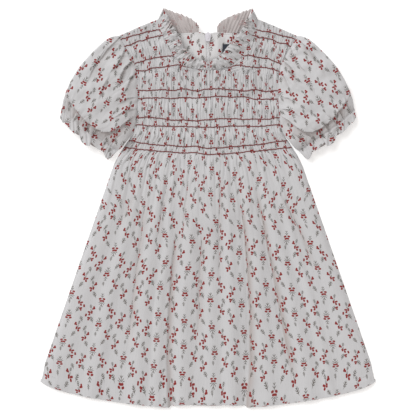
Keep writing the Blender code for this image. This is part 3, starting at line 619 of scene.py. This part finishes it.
def back_surface(place, share):
    """Points and flat cloth of the right half of the back, from the neckline down."""
    row, centre_x, centre_y = table_at(BACK_CENTRE, place)
    row = np.maximum(row, 1)
    side_x, side_y = front_row(row, 2, 3)
    side_x = side_x - 0.5
    x = centre_x + (side_x - centre_x) * share
    y = centre_y + (side_y - centre_y) * share ** row_bow(row)
    y = y + smooth(1 - place * 1.3) * (np.interp(x, *BACK_TOP.T) - y)
    into_hem = np.clip(row - LAST_ROW + 1, 0, 1)
    y = y * (1 - into_hem) + (hem_y(x, side_x) + 1.6) * into_hem
    wrinkle = 0.25 + 0.25 * soft_noise(x / 16, y / 60, 21)
    z = 0.05 + pull_lift(x, y) + wrinkle * smooth((1 - share) / 0.05)
    return np.stack([x, y, z], -1), np.stack([x * 1.02, y], -1)


back_places = np.linspace(0, len(BACK_CENTRE) - 1, 120)
back_points, back_flat = back_surface(*crossed(back_places, np.linspace(0, 1, 90) ** 1.15))
for side, word in SIDES:
    points, flat = back_points * (side, 1, 1), back_flat * (side, 1)
    back = sheet(f"back_panel_{word}", points, flat, BOTH_SIDES, COTTON_THICK, up=side < 0)
    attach(back, "dress")
    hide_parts(f"back_{word}")


# The facing.
# A shaped piece of the same cotton sewn inside each half of the back neck, right side showing.
# Its corner is turned round at the zip, and a line of stitches keeps its edge flat.
FACING = [
    # x, top_y, low_y
    (2.4, 248.6, 188),
    (3.6, 250.6, 187.8),
    (5.5, 252.4, 187.6),
    (9, 253.7, 187.4),
    (16, 253.8, 187.2),
    (26.5, 253.4, 188.2),
    (34, 253.1, 189),
    (45, 252.6, 191),
    (56, 255, 196),
    (64, 259, 203),
]
FACING_HEIGHT, FACING_STITCHED = 3.6, 2.2  # above the ground, and its stitches' way in from the edge
facing_share, facing_out = crossed(np.linspace(0, 1, 70), np.linspace(0, 1, 80) ** 1.4)
facing_x, facing_top, facing_low = table_at(FACING, facing_out * (len(FACING) - 1))
facing_in = (facing_top - facing_low) * facing_share
facing_y = facing_top - facing_in
facing_rise = 0.35 + 0.3 * soft_noise(facing_x / 7, facing_y / 30, 31)
facing_rise += 0.2 * soft_noise(facing_x / 3, facing_y / 11, 32)
facing_rise *= smooth(facing_in / 6) * smooth((facing_x - 3) / 6)
facing_rise -= 0.35 * bell((facing_in - FACING_STITCHED) / 0.5) + 0.5 * smooth((3.6 - facing_x) / 1.2)
facing_z = FACING_HEIGHT + pull_lift(facing_x, facing_y) + facing_rise
facing_points = np.stack([facing_x, facing_y, facing_z], -1)
for side, word in SIDES:
    flat = np.stack([facing_x * side + 3, facing_y + 6 + 5.5 * side], -1)
    points, looks = facing_points * (side, 1, 1), [facing_cotton_painted_light, wrong_side]
    facing = sheet(f"neck_facing_{word}", points, flat, looks, FINE_COTTON, up=side > 0)
    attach(facing, "dress")
    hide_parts(f"back_facing_{word}")


# The sleeves.
# Each is a short puffed tube of the same cotton, gathered into the armhole and by elastic above the cuff.
# Laid flat, its fullness falls over itself in one long fold, and a narrow frill stands below the elastic.
SLEEVE_RINGS = [
    # ax, ay, mx, my, bx, by, height, follow, cap, cuff
    (129.3, 249, 103.6, 177, 108.7, 108.5, 5.2, 1, 1.2, 0),
    (137.5, 248, 112, 176.5, 111, 105.4, 8.4, 0.7, 1.2, 0),
    (150, 241, 125, 171, 113.9, 101.4, 12.4, 0.35, 0.8, 0),
    (166.5, 225, 143, 163.5, 117.2, 97, 15.8, 0.1, 0.35, 0),
    (184.5, 205, 159, 152.5, 120.6, 92.4, 17.6, 0, 0.1, 0.1),
    (199.5, 180.5, 172.5, 139.5, 123.8, 88.2, 17, 0, 0, 0.4),
    (208.5, 158, 179, 127, 127.2, 85, 14, 0, 0, 1.2),
    (211.3, 144, 180, 116.5, 130.6, 83, 10.3, 0, 0, 1.5),
    (212.6, 138, 180.2, 110.5, 134, 79.8, 10.4, 0, 0, 1.3),
    (214, 131, 180.5, 100, 139, 74, 11, 0, 0, 1.6),
]
SLEEVE_GATHERS = 13  # over the top of a sleeve
ELASTIC = 7.15  # where the elastic draws it in, as a place between the rings
ARMHOLE_ROWS = 12  # the armhole runs from the front's first row to this one
# The long fold in which the puff falls over itself, from outside to the body
LOBE_FOLD = [(207, 163), (191, 142), (178, 127), (164, 115), (150, 108.5), (137, 109.5), (128, 115.5)]
LOBE_FOLD += [(114.6, 127), (106, 132)]
SLEEVE_FOLDS = [
    # path in plan, height of its left side; first the folds of the cap
    ([(118, 236), (124, 219), (131, 206), (140, 196)], 1.6),
    ([(108, 213.5), (119.5, 203), (126, 190.5), (127.5, 178)], 2.2),
    ([(104.5, 197), (112, 186), (119, 168)], 1.3),
    ([(128, 246), (146, 228), (160, 207)], 1.2),
    ([(104.5, 160), (116, 158), (128, 150)], 1),
    ([(105.5, 143), (118, 141), (133, 131)], 1.2),
    ([(150, 226), (163, 206), (171, 187)], 0.9),
    ([(142, 190), (152, 172), (156, 157)], 0.9),
    # the folds above the elastic
    ([(208, 136), (200, 147), (197, 158)], 1.4),
    ([(196, 127), (190, 137), (186, 142)], 1.5),
    ([(186, 118), (180, 127), (170, 133)], 1.2),
    ([(174, 110), (168, 120)], 1.6),
    ([(164, 102), (160, 109), (152, 112)], 1.6),
    ([(153, 95), (147, 103), (140, 106)], 1.2),
    ([(144, 90), (133, 99), (122, 107)], 1.6),
]
# How far the frill's edge stands out from its mean line, from the outer to the under fold
CUFF_EDGE = [
    # share, reach
    (0.00, 0), (0.06, 1.6), (0.20, 0.6), (0.34, 1.6), (0.385, 0.2), (0.405, -3.2),
    (0.44, -0.6), (0.48, 3.6), (0.56, 5), (0.63, 3.4), (0.655, -2), (0.70, -1),
    (0.84, 0.6), (0.875, -1.8), (0.90, 1.6), (0.94, 4.4), (0.98, 4.6), (1.00, 2),
]
PRINT_TURN = math.radians(30)  # the print leans with the sleeve


def parabola(a, m, b, share):
    return a * 2 * (share - 0.5) * (share - 1) - m * 4 * share * (share - 1) + b * 2 * share * (share - 0.5)


def sleeve_surface(place, turn):
    """Points, flat cloth and painted fold shade of the right sleeve. turn runs once round, top first."""
    ax, ay, mx, my, bx, by, height, follow, cap, cuff = table_at(SLEEVE_RINGS, place)
    share = 0.5 - 0.5 * np.cos(turn)
    x, y = parabola(ax, mx, bx, share), parabola(ay, my, by, share)
    ring = SLEEVE_RINGS[0]
    seam_x, seam_y = front_row(share * ARMHOLE_ROWS, 2, 3)
    x += follow * (seam_x + 0.15 - parabola(*ring[0:6:2], share))
    y += follow * (seam_y - parabola(*ring[1:6:2], share))
    over = turn <= math.pi
    tuck = smooth(1 - place / 0.45)
    x -= 1.6 * tuck * np.sin(turn) ** 2
    spread = np.gradient(np.stack([x, y], -1), axis=0)
    spread /= np.maximum(np.linalg.norm(spread, axis=-1, keepdims=True), 1e-6)
    scallop = np.interp(share, *np.array(CUFF_EDGE).T)
    under_scallop = 1.6 * np.sin(turn * 9) + 1 * soft_noise(turn * 3, 0, 41)
    ruffle = 0.9 * np.sin(13 * turn + 2 * soft_noise(turn * 3, 0, 49))
    scallop = 1.35 * scallop + ruffle * inside(share, 8)
    reach = smooth((place - 7.6) / 1.4) ** 2 * np.where(over, scallop, under_scallop * np.sin(turn) ** 2)
    x += reach * spread[..., 0]
    y += reach * spread[..., 1]
    round_top = np.abs(np.sin(turn)) ** 0.62
    half = height / 2
    top = half + half * round_top - 1.9 * tuck * round_top
    low = half - half * np.minimum(1, 1.5 * round_top)
    away = inside(share, 3.2)
    gathers = SLEEVE_GATHERS * turn / math.pi + 1.3 * soft_noise(turn * 3.5, place * 0.5, 43)
    wave = np.abs(np.sin(np.pi * gathers)) ** 0.8 * (0.75 + 0.5 * soft_noise(gathers, place * 0.8, 44))
    relief = wave * cap * (0.3 + 0.7 * away)
    pinch = SLEEVE_GATHERS * turn / math.pi + 0.8 * soft_noise(turn * 3, place * 0.4, 45)
    wave = np.abs(np.sin(np.pi * pinch)) ** 0.8 * (0.8 + 0.5 * soft_noise(pinch, place * 0.7, 46))
    relief += 1.8 * wave * cuff * (0.35 + 0.65 * away)
    relief -= 1.6 * bell((place - ELASTIC) / 0.28)
    lobe, along = beside(x, y, LOBE_FOLD)
    ends = inside(along, 7)
    upper = np.exp(-np.clip(lobe, 0, 60) / 10)
    lower = np.exp(-np.clip(-lobe, 0, 60) / 9)
    relief += ends * np.where(lobe < 0, 1.7 * lower, -2.9 * upper)
    # Painted shade: on the sunken side of the long fold, and on the low side of each crease below.
    painted_shade = 0.6 * ends * over * np.where(lobe > 0, np.exp(-np.abs(lobe) / 9), 0)
    for path, high in SLEEVE_FOLDS:
        relief += 1.6 * crease(x, y, path, high, 6, 0.75 * high, 2.6)
        painted_shade += over * crease(x, y, path, 0, 1, -0.42 * high, 3)
    relief += 1.9 * soft_noise(x / 17, y / 17, 47) * smooth(place / 2)
    relief += 0.5 * soft_noise(x / 6, y / 6, 48)
    z = np.where(over, top + relief * smooth(round_top * 2), low)
    lean = np.where(lobe > 0, 0.4, 1) * PRINT_TURN
    across = 1.05 * (x * np.cos(lean) + y * np.sin(lean)) + np.where(lobe > 0, 21, 0)
    down = 1.05 * (y * np.cos(lean) - x * np.sin(lean)) - np.where(lobe > 0, 9, 0)
    points = np.stack([x, y, np.maximum(z, 0.05)], -1)
    return points, np.stack([across, down], -1), np.clip(painted_shade, 0, 1)


sleeve_place = np.linspace(0, len(SLEEVE_RINGS) - 1, 118)
sleeve_turn = np.concatenate([np.linspace(0, math.pi, 250), np.linspace(math.pi, 2 * math.pi, 70)[1:]])
sleeve_points, sleeve_flat, sleeve_painted_shade = sleeve_surface(*crossed(sleeve_place, sleeve_turn))
for side, word in SIDES:
    points, flat = sleeve_points * (side, 1, 1), sleeve_flat * (side, 1) + (7 * side, 0)
    marks = {"fold": [sleeve_painted_shade], "closed": True, "up": side < 0}
    sleeve = sheet(f"puff_sleeve_{word}", points, flat, BOTH_SIDES, FINE_COTTON, **marks)
    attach(sleeve, "dress")
    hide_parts(f"sleeve_{word}")


# The neck frill.
# A gathered strip of the same cotton stands round the neckline, in four lengths between the seams.
# At the front it falls open with its right side up; at the back its wrong side shows.
FRILL_FRONT = [
    # row of the front on whose neckline the seam lies, edge_x, edge_y, edge_z, fallen_x, fallen_y
    (0, 64, 288.66, 11, 0, 0),
    (0.6, 58, 275.5, 12.4, 0, 0),
    (1.4, 51, 263, 13, 0, 0),
    (2.4, 44, 251, 13.2, -1, 0),
    (3.2, 38.8, 239.5, 13, -4, 0),
    (4, 33.5, 230, 12.6, -6, 0.5),
    (4.6, 26, 221.5, 12.2, -6, 1),
    (5.3, 14.5, 214.5, 11.8, -3, 1.5),
    (6, 0.8, 210.5, 11.4, 0, 0.5),
]
FRILL_BACK = [
    # seam_x, seam_y, edge_x, edge_y, edge_z
    (13.4, 253.2, 13, 262, 8.4),
    (17, 253, 16.5, 267, 9.2),
    (21, 253, 22, 271.5, 9.2),
    (25.5, 252.8, 30.5, 276.2, 9),
    (30.5, 252.6, 41, 280, 8.6),
    (36, 252.6, 51, 283.8, 8.2),
    (43, 253, 57.5, 286.4, 7.6),
    (51, 255.5, 63.6, 288.4, 7.2),
]


FRILL_WAVES = (14, 10)  # in one half, at the front and at the back
FRILL_CLOTH = ((165, 20), (62, 24))  # flat length and width of one half, front and back
FRILL_THICK = 0.5


def front_frill(along, across, seed, fallen):
    """Points and flat cloth of one half of the front frill; fallen is how far it has dropped inwards."""
    place = along * (len(FRILL_FRONT) - 1)
    row, edge_x, edge_y, edge_z, fallen_x, fallen_y = table_at(FRILL_FRONT, place)
    edge_x, edge_y = edge_x + fallen * fallen_x, edge_y + fallen * fallen_y
    seam_x, seam_y, seam_z = np.moveaxis(front_surface(1e-9, row)[0], -1, 0)
    wander = 1.5 * soft_noise(along * 7, across * 1.1, seed)
    wander += 0.7 * soft_noise(along * 19, across * 1.9, seed + 1)
    phase = FRILL_WAVES[0] * along + wander
    wave = np.sin(2 * np.pi * phase)
    strength = (0.55 + 0.55 * soft_noise(along * 17, across * 0.7, seed + 2)) * inside(along, 14)
    bend = across + 0.10 * wave * strength * across * (1 - across) * 4
    x = seam_x + (edge_x - seam_x) * bend
    y = seam_y + (edge_y - seam_y) * bend
    arch = np.sin(0.62 * np.pi * across) ** 1.35
    z = seam_z + (edge_z - seam_z) * arch
    z += (0.55 + 1.5 * across) * wave * strength
    z += 1.2 * soft_noise(along * 38, across * 3.4, seed + 3) * np.sin(np.pi * across)
    z += 0.8 * soft_noise(along * 12, across * 3.5, seed + 5) * np.sin(np.pi * across)
    sideways = 1.9 * np.cos(2 * np.pi * phase) * strength * across
    reach = 1.6 * soft_noise(along * 23, 0, seed + 4) * across**2
    reach *= smooth(along * 9) * smooth((1 - along) * 14)
    run = np.gradient(np.stack([edge_x, edge_y], -1), axis=1)
    run /= np.maximum(np.linalg.norm(run, axis=-1, keepdims=True), 1e-6)
    x = np.maximum(x + sideways * run[..., 0] - reach * run[..., 1], 0.15)
    y = y + sideways * run[..., 1] + reach * run[..., 0]
    return np.stack([x, y, z], -1), np.stack([along, across], -1) * FRILL_CLOTH[0]


def back_frill(along, across, seed, depth):
    """Points and flat cloth of one half of the back frill."""
    place = along * (len(FRILL_BACK) - 1)
    seam_x, seam_y, edge_x, edge_y, edge_z = table_at(FRILL_BACK, place)
    seam_z = 2.9 + pull_lift(seam_x, seam_y)
    phase = FRILL_WAVES[1] * along + 0.5 * soft_noise(along * 6, across * 0.6, seed)
    wave = np.sin(2 * np.pi * phase)
    strength = (0.75 + 0.5 * soft_noise(phase, across * 0.8, seed + 1)) * inside(along, 12)
    x = seam_x + (edge_x - seam_x) * across
    y = seam_y + (edge_y - seam_y) * across
    y += 1.1 * across**3 * np.sin(2 * np.pi * phase + 1) * strength
    y += 0.6 * across * soft_noise(along * 9, 0, seed + 2)
    z = seam_z + (edge_z - seam_z) * np.sin(0.5 * np.pi * across)
    z += depth * (0.28 + 0.22 * across) * wave * strength
    x += 0.8 * np.cos(2 * np.pi * phase) * strength * across
    return np.stack([x, y, z], -1), np.stack([along, across], -1) * FRILL_CLOTH[1]


frill_across, frill_along = crossed(np.linspace(0, 1, 26), np.linspace(0, 1, 420))
for side, word in SIDES:
    points, flat = front_frill(frill_along, frill_across, 51 + 10 * side, side > 0)
    points, marks = points * (side, 1, 1), {"gather": [0.9 - 0.55 * frill_across], "up": side > 0}
    frill = sheet(f"front_frill_{word}", points, flat, BOTH_SIDES, FRILL_THICK, **marks)
    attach(frill, "dress")
    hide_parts(f"neck_frill_front_{word}")

    points, flat = back_frill(frill_along[:, ::2], frill_across[:, ::2], 71 + 10 * side, 1 - 0.2 * side)
    points = points * (side, 1, 1)
    frill = sheet(f"back_frill_{word}", points, flat, BOTH_SIDES[::-1], FRILL_THICK, up=side < 0)
    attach(frill, "dress")
    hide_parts(f"neck_frill_back_{word}")


# The embroidery thread.
# Ten rows of red cotton thread hold the gathers: one plump stitch lies over each pleat's crest.
# The thread is about a millimetre thick and follows the cloth up and down.
red = {"Base Color": (0.175, 0.020, 0.019, 1), "Roughness": 0.6, "Sheen Weight": 0.2}
thread_red = material("thread_red", red)
thread_pale = material("thread_pale", {"Base Color": (0.62, 0.60, 0.60, 1), "Roughness": 0.7})


def stitch_tree():
    """Geometry nodes: stitches laid end to end along the edges of a mesh."""
    n = Nodes(bpy.data.node_groups.new("stitches", "GeometryNodeTree"))
    n.sockets("INPUT", Geometry="Geometry", Spacing="Float", Length="Float", Radius="Float", Slant="Float")
    n.sockets("INPUT", Thread="Material")
    n.sockets("OUTPUT", Geometry="Geometry")
    given = n.add("NodeGroupInput").outputs
    curve = n.add("GeometryNodeMeshToCurve", {"Mesh": given["Geometry"]})
    steps = {"Curve": curve.outputs[0], "Length": given["Spacing"]}
    even = n.add("GeometryNodeResampleCurve", steps, mode="LENGTH")
    ball = n.add("GeometryNodeMeshUVSphere", {"Segments": 8, "Rings": 6, "Radius": 1.0})
    tangent = n.add("GeometryNodeInputTangent")
    turn = n.add("FunctionNodeAlignRotationToVector", {"Vector": tangent.outputs[0]}, axis="X")
    lean = n.add("FunctionNodeAxisAngleToRotation", {"Axis": (0.0, 0.0, 1.0), "Angle": given["Slant"]})
    turned = n.add("FunctionNodeRotateRotation", (turn.outputs[0], lean.outputs[0]), rotation_space="LOCAL")
    size = n.point(n.times(given["Length"], 0.5), given["Radius"], given["Radius"])
    ins = {"Points": even.outputs[0], "Instance": ball.outputs[0], "Rotation": turned.outputs[0]}
    ins["Scale"] = size
    laid = n.add("GeometryNodeInstanceOnPoints", ins)
    real = n.add("GeometryNodeRealizeInstances", {"Geometry": laid.outputs[0]})
    shaded = n.add("GeometryNodeSetShadeSmooth", {"Geometry": real.outputs[0]})
    looks = n.add("GeometryNodeSetMaterial", {"Geometry": shaded.outputs[0], "Material": given["Thread"]})
    n.add("NodeGroupOutput", (looks.outputs[0],))
    return n.tree


STITCHES = stitch_tree()


def stitched(name, lines, spacing, length, radius, slant, thread):
    """Lines of stitches, each line a list of points in millimetres."""
    verts, edges = [], []
    for line in lines:
        start = len(verts)
        verts += [tuple(np.asarray(p) * MM) for p in line]
        edges += [(i, i + 1) for i in range(start, len(verts) - 1)]
    path = bpy.data.meshes.new(name + "_path")
    path.from_pydata(verts, edges, [])
    source = placed(name + "_path", path)
    modifier = source.modifiers.new("stitches", "NODES")
    modifier.node_group = STITCHES
    values = {"Spacing": spacing * MM, "Length": length * MM, "Radius": radius * MM}
    values |= {"Slant": slant, "Thread": thread}
    for item in STITCHES.interface.items_tree:
        if item.in_out == "INPUT" and item.name in values:
            modifier[item.identifier] = values[item.name]
    bpy.context.view_layer.update()
    graph = bpy.context.evaluated_depsgraph_get()
    data = bpy.data.meshes.new_from_object(source.evaluated_get(graph))
    data.name = name
    bpy.data.objects.remove(source)
    return placed(name, data)


THREAD_LIFT = 0.25
THREAD_END = 0.985  # the rows stop just short of the armholes


def on_front(row, start, end, count):
    """Points just above the front along one of its rows."""
    share = np.linspace(start, end, count)
    points = front_surface(share, row)[0]
    points[:, 2] += THREAD_LIFT
    points[:, 1] += 0.45 * soft_noise(share * 45, row, 61)
    return points


thread_lines = []
for row in STITCH_ROWS:
    if row < V_POINT:
        thread_lines += [on_front(row, -THREAD_END, -0.02, 420), on_front(row, 0.02, THREAD_END, 420)]
    else:
        thread_lines.append(on_front(row, -THREAD_END, THREAD_END, 860))
SMOCKING_STITCH = (2.1, 3.1, 0.82, 0.18)  # each stitch: spacing, length, radius, slant
smocking = stitched("smocking_thread", thread_lines, *SMOCKING_STITCH, thread_red)
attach(smocking, "dress")


# The hem and the facing's edge.
# The skirt's hem is turned up once and held by a row of small stitches in pale thread.
# The same thread holds the facing flat, two millimetres inside its edge.
hem_share = np.linspace(-0.99, 0.99, 900)
hem_points = front_surface(hem_share, LAST_ROW)[0]
hem_rows = np.linspace(LAST_ROW - 1, LAST_ROW, 40)
hem_line = []
for share, end in zip(hem_share[::2], hem_points[::2]):
    column = front_surface(share, hem_rows)[0][::-1]
    hem_line.append([np.interp(end[1] + HEM_STITCHED, column[:, 1], column[:, axis]) for axis in range(3)])
hem_line = np.array(hem_line) + (0, 0, 0.05)
HEM_STITCH, FACING_STITCH = (3.1, 2.3, 0.24, 0.0), (2.8, 2.0, 0.22, 0.0)
hem_thread = stitched("hem_stitches", [hem_line], *HEM_STITCH, thread_pale)
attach(hem_thread, "dress")
facing_lines = []
for side in (-1, 1):
    edge_x = np.linspace(6.0, 52.0, 60)
    edge_y = np.interp(edge_x, *np.array(FACING)[:, :2].T) - FACING_STITCHED
    edge_z = FACING_HEIGHT + 0.15 + pull_lift(edge_x, edge_y)
    facing_lines.append(np.stack([side * edge_x, edge_y, edge_z], -1))
facing_thread = stitched("facing_stitches", facing_lines, *FACING_STITCH, thread_pale)
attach(facing_thread, "dress")


# The zip.
# A concealed nylon zip in the centre back, seen from inside: two woven tapes and their closed coil.
# The slider's pale shield shows between the facings; its drop-shaped pull hangs on the outside.
def nylon(name, colour, ribs, roughness):
    """Pale nylon with fine ribs along the dress's length."""
    made = material(name, {"Roughness": roughness})
    n = Nodes(made.node_tree)
    place = n.add("ShaderNodeTexCoord").outputs["Object"]
    x, y = n.split(place)[:2]
    thread = n.times(n.math("SINE", n.times(y, 1.7 * ribs)), 0.3)
    height = n.times_plus(n.math("SINE", n.times(x, ribs)), 0.5, thread)
    tone = n.times_plus(n.noise(place, 900.0), 0.12, 0.94)
    n.shade(n.mixed(1.0, colour, tone, "MULTIPLY"), height, 0.3, 0.1 * MM)
    return made


zip_tape_look = nylon("zip_tape", (0.88, 0.87, 0.88, 1), 9000.0, 0.8)
zip_look = nylon("zip_pale", (0.70, 0.675, 0.73, 1), 2500.0, 0.38)
TAPE_THICK, EDGE_ROUNDING = 0.5, 0.18
tape_x = np.array([0.25, 1.0, 2.0, 4.0, 7.0, 10.0, 12.4])[None, :]
tape_y = np.linspace(250.6, 20.4, 150)[:, None]
tape_z = 2.25 + pull_lift(tape_x, tape_y) + 0.05 * soft_noise(tape_x, tape_y / 9.0, 81)
for side, word in SIDES:
    points = np.stack(np.broadcast_arrays(side * tape_x, tape_y, tape_z), -1)
    flat = points[..., :2]
    tape = sheet(f"zip_tape_cloth_{word}", points, flat, [zip_tape_look], TAPE_THICK, up=side > 0)
    edge_y = np.linspace(243.0, 21.0, 200)
    row_x = np.full(200, side * 0.86)
    coil_line = np.stack([row_x, edge_y, 3.1 + pull_lift(row_x, edge_y)], -1)
    coil = stitched(f"zip_coil_{word}", [coil_line], 1.25, 1.9, 0.45, 1.57 + side * 0.28, zip_tape_look)
    for piece in (tape, coil):
        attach(piece, "dress")
    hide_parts(f"zip_tape_{word}")
for name, body in (("zip_slider", "dress"), ("zip_pull_tab", "pull_tab")):
    moulded_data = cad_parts[name].data.copy()
    merge(moulded_data, outward=True)
    moulded_data.materials.clear()
    moulded_data.materials.append(zip_look)
    moulded = placed(f"{name}_moulded", moulded_data)
    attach(moulded, body)
    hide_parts(name)
    rounding = moulded.modifiers.new("rounded_edges", "BEVEL")
    rounding.width = EDGE_ROUNDING * MM
    rounding.segments = 2
    rounding.limit_method = "ANGLE"
    rounding.angle_limit = math.radians(35)
# The slider's crown: an outline at its foot, drawn in towards CROWN_MIDDLE at its top
CROWN = [(0, 252.2), (2.2, 250.2), (2.3, 248.4), (1.2, 243.2), (-1.2, 243.2), (-2.3, 248.4), (-2.2, 250.2)]
CROWN_FOOT, CROWN_TOP, CROWN_MIDDLE = 8.78, 9.35, 247.4
count = len(CROWN)
crown_points = [(x, y, CROWN_FOOT) for x, y in CROWN]
crown_points += [(0.72 * x, CROWN_MIDDLE + 0.8 * (y - CROWN_MIDDLE), CROWN_TOP) for x, y in CROWN]
crown_faces = [(i, (i + 1) % count, count + (i + 1) % count, count + i) for i in range(count)]
crown_faces += [tuple(range(count)), tuple(range(count, 2 * count))]
crown_data = bpy.data.meshes.new("slider_crown")
crown_data.from_pydata((np.array(crown_points) * MM).tolist(), [], crown_faces)
merge(crown_data, outward=True)
crown_data.materials.append(zip_look)
crown = placed("slider_crown", crown_data)
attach(crown, "dress")


# The label.
# A plain navy loop label, woven, folded in two and sewn into the seam of the right facing.
# Its folded end stands a little off the cloth; it is left blank.
label_look = nylon("label_navy", (0.014, 0.019, 0.034, 1), 7000.0, 0.55)
LABEL_EDGES, LABEL_LOW, LABEL_LENGTH, LABEL_HEIGHT, LABEL_THICK = (21.0, 34.0), 221.0, 15.5, 7.35, 0.3
label_turn, label_x = crossed(np.linspace(0, 1, 60), np.linspace(*LABEL_EDGES, 24))
from_fold = np.abs(2 * label_turn - 1)
ply = np.clip((label_turn - 0.5) * 26, -1, 1)
label_z = LABEL_HEIGHT + 0.42 * ply + 0.5 * (1 - from_fold) ** 2 + 0.08 * np.sin(label_x * 0.5)
label_points = np.stack([label_x, LABEL_LOW + LABEL_LENGTH * from_fold, label_z], -1)
label = sheet("loop_label", label_points, label_points[..., :2], [label_look], LABEL_THICK)
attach(label, "dress")
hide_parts("neck_label")


# Camera, light and floor.
# The dress lies on a plain pale floor and is seen from straight above, its hem towards the viewer.
# A broad soft light comes from the upper left, with a weak fill from everywhere.
camera_data = bpy.data.cameras.new("camera")
camera_data.lens = 119.4
camera_data.sensor_width = 36.0
camera = placed("camera", camera_data)
camera.location = (0.0, 0.0, 2.0)
bpy.context.scene.camera = camera

sun_data = bpy.data.lights.new("window_light", "SUN")
sun_data.energy = 1.65
sun_data.angle = math.radians(38)
sun_data.color = (0.95, 0.985, 1.0)
sun = placed("window_light", sun_data)
sun.rotation_euler = (math.radians(-34), math.radians(-42), 0)
world = bpy.data.worlds.new("studio")
world.use_nodes = True
world.node_tree.nodes["Background"].inputs[0].default_value = (1.0, 0.965, 0.94, 1)
world.node_tree.nodes["Background"].inputs[1].default_value = 0.66
bpy.context.scene.world = world
bpy.context.scene.view_settings.view_transform = "Standard"

floor_data = bpy.data.meshes.new("floor")
floor_data.from_pydata([(-4, -4, 0), (4, -4, 0), (4, 4, 0), (-4, 4, 0)], [], [(0, 1, 2, 3)])
pale = {"Base Color": (0.92, 0.92, 0.92, 1), "Emission Color": (1, 1, 1, 1), "Emission Strength": 0.32}
floor_data.materials.append(material("floor_pale", pale | {"Roughness": 0.9}))
floor = placed("floor", floor_data)
